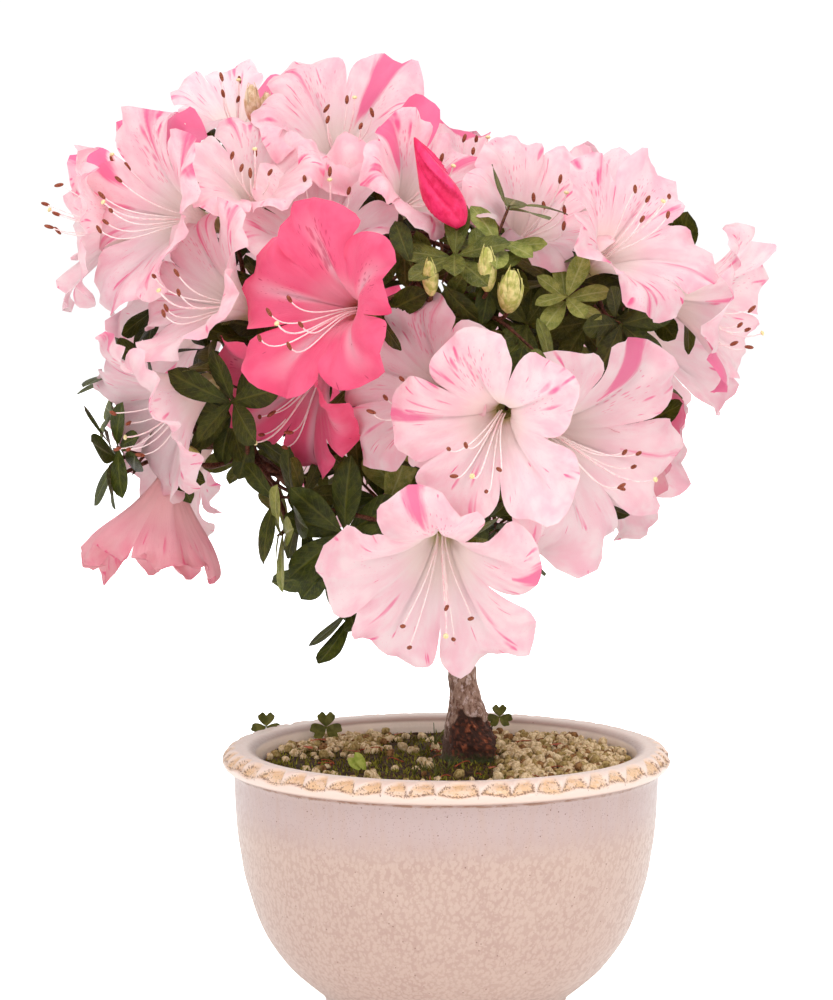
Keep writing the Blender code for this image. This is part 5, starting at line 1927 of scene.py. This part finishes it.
def leaf_veins_group():
    """A leaf's midrib and side veins: a mask and a height."""
    entries = {"Across": 0.0, "Along": 0.5, "Seed": 0.0}
    board, given, result = new_group("leaf_veins", entries, ["Vein", "Height"])
    off = board.math("ABSOLUTE", given["Across"])
    rib = board.fade(off, 0.13, 0.03)
    slant = board.ramp(off, -2.2, board.times(given["Along"], 8.0))
    gap = board.math("ABSOLUTE", board.math("SUBTRACT", board.math("FRACT", slant), 0.5))
    side = board.times(board.fade(gap, 0.10, 0.02), 0.45)
    vein = board.math("MAXIMUM", rib, side)
    board.feed(result["Vein"], vein)
    across = board.ramp(given["Across"], 9.0, given["Seed"])
    along = board.times(given["Along"], 20.0)
    grain_height = board.noise(board.join(across, along, given["Seed"]))
    board.feed(result["Height"], board.ramp(vein, -0.8, grain_height))
    return board.tree


def new_material(name, colour, roughness=0.6, **constants):
    """A material with one shader; constants are set on the shader's own sockets."""
    material = bpy.data.materials.new(name)
    material.use_nodes = True
    material.diffuse_color = colour
    board = Board(material.node_tree)
    shader = material.node_tree.nodes["Principled BSDF"]
    shader.inputs["Base Color"].default_value = colour
    shader.inputs["Roughness"].default_value = roughness
    for label, value in constants.items():
        shader.inputs[label.replace("_", " ")].default_value = value
    return material, board, shader


def glow_through(board, shader, colour, share):
    """Lets light through a thin petal or leaf."""
    end = next(node for node in board.tree.nodes if node.type == "OUTPUT_MATERIAL")
    through = board.add("ShaderNodeBsdfTranslucent")
    board.feed(through.inputs["Color"], colour)
    blend_node = board.add("ShaderNodeMixShader")
    blend_node.inputs[0].default_value = share
    board.feed(blend_node.inputs[1], shader.outputs[0])
    board.feed(blend_node.inputs[2], through.outputs[0])
    board.feed(end.inputs["Surface"], blend_node.outputs[0])


# Petals: base and ink colours, how much of each mark, and the throat's two colours; the paler collar
# round the throat is partly the petal's whiter middle and partly painted light against the funnel's
# shade.
PETALS = {
    "pale": {
        "base": (254, 226, 229), "margin": (251, 188, 203), "ink": (247, 108, 158),
        "dashes": 0.78, "streaks": 0.60, "specks": 0.6, "blotch": 0.45,
        "throat": (222, 212, 150), "collar_and_painted_light": (255, 238, 230), "ray": 0.0,
    },
    "streaked": {
        "base": (254, 221, 226), "margin": (250, 180, 198), "ink": (245, 92, 148),
        "dashes": 1.0, "streaks": 1.10, "specks": 0.9, "blotch": 0.6,
        "throat": (222, 212, 150), "collar_and_painted_light": (254, 236, 228), "ray": 0.0,
    },
    # The blush petal is a darker copy of the pale one, for the hanging bloom and the one behind:
    # partly a pinker tone, partly painted shade for blooms in the crown's shade.
    "blush": {
        "base": (230, 168, 175), "margin": (226, 132, 150), "ink": (224, 86, 128),
        "dashes": 0.9, "streaks": 1.1, "specks": 0.7, "blotch": 0.3,
        "throat": (236, 190, 176), "collar_and_painted_light": (250, 200, 200), "ray": 0.1,
    },
    "rose": {
        "base": (251, 104, 144), "margin": (246, 78, 126), "ink": (206, 42, 94),
        "dashes": 0.2, "streaks": 0.35, "specks": 0.3, "blotch": 0.9,
        "throat": (216, 130, 96), "collar_and_painted_light": (253, 164, 184), "ray": 0.85,
    },
}
RAY_COLOUR = (253, 196, 210)
# Where each part of a petal's colour fades in, from the throat at 0 to the rim at 1.
RAY_FADE = (0.98, 0.46)
RAY_WIDTH = (0.30, 0.02)
COLLAR_FADE = (0.52, 0.30, 0.0, 0.80)
THROAT_FADE = (0.24, 0.08)
RIM_FLUSH = (0.5, 1.05, 0.0, 0.55)
FLUSH = 0.36
PETAL_SHINE = (0.2, 0.9, 0.45, 0.62)
PETAL_RELIEF = (0.45, 0.0006)
PETAL_GLOW = 0.42


def petal_material(
    name, ink_tree, base, margin, ink, dashes, streaks, specks, blotch, throat, collar_and_painted_light, ray
):
    material, board, shader = new_material(f"petal_{name}", tone(*base), 0.52, Sheen_Weight=0.15)
    u, s, seed = board.trait("petal")
    middle, width, start = board.trait("band")
    to_rim, height_share, _ = board.trait("rim")
    marks = board.group(
        ink_tree, across=u, along=s, seed=seed, dashes=dashes, streaks=streaks, specks=specks,
        blotch=board.times(height_share, blotch * 2.0), band_middle=middle,
        band_width=width, band_start=start,
    )
    rim_share = board.times(board.fade(to_rim, *RIM_FLUSH), marks["Flush"])
    flush = board.ramp(marks["Flush"], FLUSH, rim_share)
    body = board.mix(flush, tone(*base), tone(*margin))
    near_middle = board.fade(board.math("ABSOLUTE", u), *RAY_WIDTH)
    ray_share = board.times(near_middle, board.fade(s, *RAY_FADE))
    body = board.mix(board.times(ray_share, ray), body, tone(*RAY_COLOUR))
    body = board.mix(marks["Ink"], body, tone(*ink))
    # The paler collar: partly the petal's own whiter middle, partly painted light that lifts the
    # shade inside the funnel.
    body = board.mix(board.fade(s, *COLLAR_FADE), body, tone(*collar_and_painted_light))
    colour = board.mix(board.fade(s, *THROAT_FADE), body, tone(*throat))
    board.feed(shader.inputs["Base Color"], colour)
    board.feed(shader.inputs["Roughness"], board.fade(marks["Height"], *PETAL_SHINE))
    board.feed(shader.inputs["Normal"], board.bump(marks["Height"], *PETAL_RELIEF))
    glow_through(board, shader, colour, PETAL_GLOW)
    return material


# Leaves: the blade's two colours, its veins' colour and how much of the pale specks show, which are
# partly the down's own colour and partly painted sheen.
LEAVES = {
    "dark": ((44, 50, 8), (70, 76, 15), (102, 104, 40), 0.06),
    "olive": ((68, 74, 18), (102, 104, 36), (134, 132, 72), 0.22),
    "young": ((108, 116, 42), (150, 150, 74), (178, 176, 116), 0.30),
}
LEAF_DOWN_SHEEN = (172, 174, 142)
LEAF_VEINS = 0.5
LEAF_SHINE = (0.0, 0.8, 0.32, 0.55)
LEAF_RELIEF = (0.5, 0.0004)
LEAF_GLOW = 0.14


def leaf_material(name, mottle, veins, low, high, vein, down_and_sheen):
    material, board, shader = new_material(
        f"leaf_{name}", tone(*low), 0.5, Specular_IOR_Level=0.22
    )
    u, v, seed = board.trait("leaf")
    marks = board.group(veins, across=u, along=v, seed=seed)
    patches = board.group(mottle, scale=0.35, upright_scale=0.35, low=0.35, high=0.68)
    blade = board.mix(patches["Mask"], tone(*low), tone(*high))
    # Pale specks of down: partly the hairs' own colour, partly painted sheen.
    down_sheen_specks = board.group(mottle, scale=2.6, upright_scale=2.6, low=0.54, high=0.66, shift=5.0)
    blade = board.mix(board.times(down_sheen_specks["Mask"], down_and_sheen), blade, tone(*LEAF_DOWN_SHEEN))
    colour = board.mix(board.times(marks["Vein"], LEAF_VEINS), blade, tone(*vein))
    board.feed(shader.inputs["Base Color"], colour)
    board.feed(shader.inputs["Roughness"], board.fade(marks["Height"], *LEAF_SHINE))
    board.feed(shader.inputs["Normal"], board.bump(marks["Height"], *LEAF_RELIEF))
    glow_through(board, shader, board.mix(0.5, colour, tone(*high)), LEAF_GLOW)
    return material


def rough_material(name, mottle, low, high, fine=1.0, roughness=0.8, depth=0.0004):
    """A dull natural surface in two colours: a twig, a husk, a grain of grit."""
    material, board, shader = new_material(name, tone(*low), roughness, Specular_IOR_Level=0.2)
    patches = board.group(mottle, scale=fine, upright_scale=fine * 0.8, low=0.36, high=0.64)
    board.feed(shader.inputs["Base Color"], board.mix(patches["Mask"], tone(*low), tone(*high)))
    wear = board.fade(patches["Height"], 0.3, 0.7, roughness, max(0.3, roughness - 0.15))
    board.feed(shader.inputs["Roughness"], wear)
    board.feed(shader.inputs["Normal"], board.bump(patches["Height"], 0.6, depth))
    return material


# Bark: its colours, and the heights in millimetres between which crust and moss fade.
BARK = {"deep": (118, 82, 64), "ridge": (176, 142, 124), "lichen": (232, 206, 198)}
CRUST_FADE = (122.0, 112.0)
MOSS_FADE = (94.0, 89.0)
# The burl's colours: dark crust, wood and orange. By knob height they are also painted shade in the
# crevices and painted highlights on the knob tops.
HEARTWOOD_HIGHLIGHT = (214, 132, 88)
WOOD = (138, 70, 42)
CRUST_AND_CREVICE_SHADE = (62, 34, 22)
MOSS_GREEN = (66, 72, 30)


def bark_material(name, mottle, lichen_share, mossy):
    material, board, shader = new_material(name, tone(*BARK["ridge"]), 0.85)
    ridges = board.group(mottle, scale=0.65, upright_scale=0.34, low=0.36, high=0.60, warp=0.4)
    flakes = board.group(mottle, scale=0.55, upright_scale=0.40, low=0.54, high=0.64, shift=40.0)
    grit = board.group(mottle, scale=2.6, upright_scale=2.0, low=0.4, high=0.7, shift=9.0)
    colour = board.mix(ridges["Mask"], tone(*BARK["deep"]), tone(*BARK["ridge"]))
    lichen = board.times(flakes["Mask"], lichen_share)
    lichen = board.times(lichen, board.fade(grit["Height"], 0.25, 0.5))
    colour = board.mix(lichen, colour, tone(*BARK["lichen"]))
    if mossy:
        _, _, z = board.split(board.place())
        mask, knob, _ = board.trait("burl")
        crust = board.ramp(flakes["Height"], 18.0, z)
        crust = board.fade(crust, *CRUST_FADE)
        colour = board.mix(board.times(crust, 0.80), colour, tone(*CRUST_AND_CREVICE_SHADE))
        # Coloured by knob height, dark in the crevices and orange on the knob tops: partly the
        # burl's own crust and wood, partly painted shade and painted highlight.
        wood_shade_and_highlight = board.mix(board.fade(knob, 0.25, 0.75), tone(*CRUST_AND_CREVICE_SHADE), tone(*WOOD))
        knob_highlight = board.times(board.fade(knob, 0.50, 0.95), board.fade(mask, 0.6, 0.95))
        knob_highlight = board.times(knob_highlight, board.fade(grit["Height"], 0.42, 0.60, 0.1, 1.0))
        wood_shade_and_highlight = board.mix(knob_highlight, wood_shade_and_highlight, tone(*HEARTWOOD_HIGHLIGHT))
        colour = board.mix(board.fade(mask, 0.25, 0.5), colour, wood_shade_and_highlight)
        low = board.math("ADD", z, board.times(flakes["Height"], -16.0))
        colour = board.mix(board.fade(low, *MOSS_FADE), colour, tone(*MOSS_GREEN))
    board.feed(shader.inputs["Base Color"], colour)
    board.feed(shader.inputs["Roughness"], board.fade(grit["Height"], 0.2, 0.8, 0.92, 0.68))
    relief = board.math("ADD", ridges["Height"], board.times(grit["Height"], 0.5))
    board.feed(shader.inputs["Normal"], board.bump(relief, 0.7, 0.0008))
    return material


GLAZE = {
    "cream": (186, 157, 144), "blush": (180, 150, 138), "frost": (202, 176, 163),
    "mist": (186, 162, 158), "lip": (230, 206, 193), "ochre": (220, 180, 140),
    "brown": (96, 56, 38), "line": (138, 94, 66), "inner_painted_light": (252, 232, 216),
    "pinhole": (120, 96, 84),
}
# Zones of the glaze, each told by the two levels in millimetres between which it fades.
CRYSTAL_TOP = (87.0, 72.0)
MIST_FOOT = (70.0, 86.0)
MIST_TOP = (95.5, 93.5)
# The broken brown line under the rim's roll, partly a line in the glaze and partly painted shadow.
LINE_FOOT = (93.9, 94.5)
LINE_TOP = (95.6, 95.0)
# The inside wall's zone, where the glaze is painted near white: partly its own pale tone, partly
# painted light that lifts the shade inside the pot.
INNER_REACH = (72.6, 72.0)
INNER_HEIGHT = (60.0, 66.0)
CELL_SCALE = (0.66, 0.66, 0.42)
SPECK_SCALE = 0.28


def glaze_material(mottle):
    """Cream crystal glaze, misty under the rim, with ochre pooled in the rim's marks, a brown line
    under the rim that is partly painted shadow, and the inside wall painted near white, partly as
    painted light.
    """
    material, board, shader = new_material(
        "glaze_cream", tone(*GLAZE["cream"]), 0.24, Specular_IOR_Level=0.5, Coat_Roughness=0.12
    )
    x, y, z = board.split(board.place())
    pale, pool, crack = board.trait("rim")
    ripples = board.group(mottle, scale=0.5, upright_scale=0.5, warp=0.6, shift=3.0)
    bend = board.times(ripples["Height"], 2.4)
    cell = board.join(*[board.ramp(way, scale, bend) for way, scale in zip((x, y, z), CELL_SCALE)])
    cells = board.fade(board.dots(cell), 0.70, 0.36)
    drips = board.group(mottle, scale=0.42, upright_scale=0.06, low=0.40, high=0.66, shift=17.0)
    clouds = board.group(mottle, scale=0.05, upright_scale=0.06, low=0.3, high=0.7, shift=29.0)
    crystal_zone = board.fade(z, *CRYSTAL_TOP)
    base = board.mix(clouds["Mask"], tone(*GLAZE["blush"]), tone(*GLAZE["cream"]))
    crystal = board.times(cells, crystal_zone)
    base = board.mix(board.times(crystal, 0.55), base, tone(*GLAZE["frost"]))
    misty = board.times(board.fade(z, *MIST_FOOT), board.fade(z, *MIST_TOP))
    streaks = board.times(misty, board.fade(drips["Height"], 0.30, 0.60, 0.55, 1.0))
    base = board.mix(streaks, base, tone(*GLAZE["mist"]))
    pinholes = board.fade(board.dots(board.place()), 0.26, 0.16)
    speck = board.fade(board.dots(board.scaled(board.place(), SPECK_SCALE)), 0.085, 0.05)
    base = board.mix(board.times(speck, 0.85), base, tone(*GLAZE["brown"]))
    faint = board.times(pinholes, board.times(misty, 0.35))
    base = board.mix(faint, base, tone(*GLAZE["pinhole"]))
    base = board.mix(pale, base, tone(*GLAZE["lip"]))
    warm = board.group(mottle, scale=0.22, upright_scale=0.5, low=0.36, high=0.58, shift=51.0)
    ochre = board.times(pool, board.fade(warm["Mask"], 0.0, 1.0, 0.55, 1.0))
    base = board.mix(ochre, base, tone(*GLAZE["ochre"]))
    scorch = board.group(mottle, scale=1.3, upright_scale=1.3, shift=61.0)
    level = board.ramp(pool, 0.30, crack)
    burnt = board.fade(board.ramp(level, 0.24, scorch["Height"]), 0.64, 0.74)
    burnt = board.times(burnt, board.fade(level, 0.10, 0.30, 0.0, 0.70))
    base = board.mix(burnt, base, tone(*GLAZE["brown"]))
    # A broken brown line under the rim's roll: partly a line in the glaze, partly painted shadow
    # under the roll.
    wavy = board.ramp(clouds["Height"], 1.0, z)
    line = board.times(board.fade(wavy, *LINE_FOOT), board.fade(wavy, *LINE_TOP))
    line = board.times(line, board.fade(warm["Height"], 0.44, 0.60, 0.25, 0.85))
    base = board.mix(line, base, tone(*GLAZE["line"]))
    # The inside wall is painted near white: partly the glaze's own pale tone, partly painted light
    # that lifts the shade inside the pot.
    reach = board.math("ADD", board.math("POWER", x, 2.0), board.math("POWER", y, 2.0))
    reach = board.math("SQRT", reach)
    inside = board.times(board.fade(reach, *INNER_REACH), board.fade(z, *INNER_HEIGHT))
    base = board.mix(inside, base, tone(*GLAZE["inner_painted_light"]))
    board.feed(shader.inputs["Base Color"], base)
    board.feed(shader.inputs["Roughness"], board.fade(cells, 0.0, 1.0, 0.44, 0.30))
    board.feed(shader.inputs["Coat Weight"], board.fade(clouds["Height"], 0.2, 0.8, 0.12, 0.28))
    relief = board.ramp(speck, -0.6, board.times(cells, 0.4))
    board.feed(shader.inputs["Normal"], board.bump(relief, 0.30, 0.0003))
    return material


# The plain surfaces: two colours, the scale of their mottling and their roughness.
FINISHES = {
    "twig": ((70, 36, 26), (112, 70, 50), 1.2, 0.7),
    "stalk": ((122, 128, 62), (168, 150, 98), 0.9, 0.6),
    "filament": ((252, 226, 224), (253, 240, 236), 0.6, 0.45),
    "anther": ((116, 56, 40), (160, 88, 62), 2.2, 0.7),
    "style": ((250, 206, 212), (253, 232, 226), 0.6, 0.45),
    "stigma": ((224, 204, 140), (238, 222, 178), 1.5, 0.4),
    "crimson": ((216, 34, 84), (236, 56, 110), 0.30, 0.45),
    "bud": ((168, 170, 84), (220, 208, 140), 0.5, 0.5),
    "bud_beige": ((206, 170, 128), (238, 214, 184), 0.5, 0.6),
    "soil": ((44, 28, 14), (86, 62, 34), 0.5, 0.95),
    "grit_pale": ((186, 156, 112), (236, 212, 172), 0.9, 0.9),
    "grit_green": ((134, 110, 62), (186, 160, 106), 0.9, 0.9),
    "grit_brown": ((108, 72, 40), (160, 118, 74), 0.8, 0.9),
    "moss": ((84, 74, 22), (148, 142, 48), 0.25, 0.85),
    "clover": ((78, 80, 30), (110, 108, 48), 0.3, 0.55),
    "sprout": ((150, 166, 60), (188, 194, 92), 0.4, 0.5),
    "husk": ((136, 50, 32), (180, 92, 58), 0.5, 0.8),
    "stand": ((246, 246, 245), (250, 250, 249), 0.02, 0.9),
}
WHITE = (1.0, 1.0, 1.0, 1.0)


def make_materials():
    mottle, ink, veins = mottle_group(), petal_ink_group(), leaf_veins_group()
    materials = {f"petal_{name}": petal_material(name, ink, **row) for name, row in PETALS.items()}
    for name, row in LEAVES.items():
        materials[f"leaf_{name}"] = leaf_material(name, mottle, veins, *row)
    materials["bark"] = bark_material("bark_old", mottle, 0.75, True)
    materials["bough"] = bark_material("bark_young", mottle, 0.35, False)
    materials["glaze"] = glaze_material(mottle)
    for name, (low, high, fine, roughness) in FINISHES.items():
        materials[name] = rough_material(f"finish_{name}", mottle, low, high, fine, roughness)
    board = Board(materials["stand"].node_tree)
    stand = board.tree.nodes["Principled BSDF"]
    stand.inputs["Emission Color"].default_value = WHITE
    seen = board.add("ShaderNodeLightPath").outputs["Is Camera Ray"]
    board.feed(stand.inputs["Emission Strength"], board.fade(seen, 0.0, 1.0, FLOOR_GLOW, BACKDROP))
    return materials


# The studio: a pale floor, a white surround and three soft lamps, each told by its
# place in metres, its turns in degrees, its size and its power.
FLOOR_RADII = (1.0, 200.0, 1000.0, 6000.0)
FLOOR_SIDES = 96
FLOOR_HEIGHT = -0.05
LAMPS = {
    "lamp_top": ((0.15, -0.7, 1.5), (28, 0, 0), 1.5, 11.5),
    "lamp_front_left": ((-1.1, -1.4, 1.0), (60, 0, -38), 0.9, 1.2),
    "lamp_front_right": ((1.0, -1.3, 1.2), (58, 0, 38), 1.0, 2.4),
}
BACKDROP = 1.05
SURROUND = (0.32, 1.14)
SURROUND_RISE = (-0.5, 0.7)
FLOOR_GLOW = 0.14
CAMERA_PLACE = (-0.01123, -1.085, 0.28357)
CAMERA_TILT = 90 - 4.6
CAMERA_LENS = 103.68
CAMERA_SENSOR = 36.0


def make_studio(floor_material):
    angles = math.tau * np.arange(FLOOR_SIDES) / FLOOR_SIDES
    gather = Gather(1)
    rings = [turned(radius, angles, FLOOR_HEIGHT) for radius in FLOOR_RADII]
    gather.add(np.array(rings), wrap=True)
    mesh = gather.mesh("floor")
    mesh.materials.append(floor_material)
    floor = add_object("floor", mesh)
    for name, (place, turn, size, power) in LAMPS.items():
        light = bpy.data.lights.new(name, "AREA")
        light.shape = "DISK"
        light.size = size
        light.energy = power
        lamp = add_object(name, light)
        lamp.location = place
        lamp.rotation_euler = [math.radians(angle) for angle in turn]
    world = bpy.data.worlds.new("surround")
    world.use_nodes = True
    board = Board(world.node_tree)
    backdrop = world.node_tree.nodes["Background"]
    backdrop.inputs["Color"].default_value = WHITE
    seen = board.add("ShaderNodeLightPath").outputs["Is Camera Ray"]
    _, _, upward = board.split(board.add("ShaderNodeTexCoord").outputs["Generated"])
    glow = board.fade(upward, *SURROUND_RISE, *SURROUND)
    board.feed(backdrop.inputs["Strength"], board.fade(seen, 0.0, 1.0, glow, BACKDROP))
    bpy.context.scene.world = world
    bpy.context.scene.view_settings.view_transform = "Standard"
    lens = bpy.data.cameras.new("camera")
    lens.lens = CAMERA_LENS
    lens.sensor_width = CAMERA_SENSOR
    camera = add_object("camera", lens)
    camera.location = CAMERA_PLACE
    camera.rotation_euler = (math.radians(CAMERA_TILT), 0, 0)
    bpy.context.scene.camera = camera


def corners(box):
    return [list(corner) for corner in box]


def main():
    noise.seed_set(NOISE_SEED)
    materials = make_materials()
    crown = grow_crown()
    make_pot(materials["glaze"])
    make_pot_base(materials["glaze"])
    make_soil(materials["soil"])
    make_grit(materials)
    chance = random.Random(f"{SEED} seeded")
    make_moss(chance, materials["moss"])
    make_seedlings(chance, materials["clover"])
    make_sprout(chance, materials["sprout"])
    make_husks(chance, materials["husk"])
    make_trunk(materials["bark"])
    make_boughs(materials["bough"])
    make_twigs(crown, materials)
    make_leaves(crown, materials)
    make_buds(crown, materials)
    for name, row in BLOOMS.items():
        make_bloom(name, materials[f"petal_{row[7]}"])
    make_stamens(materials)
    make_studio(materials["stand"])


main()
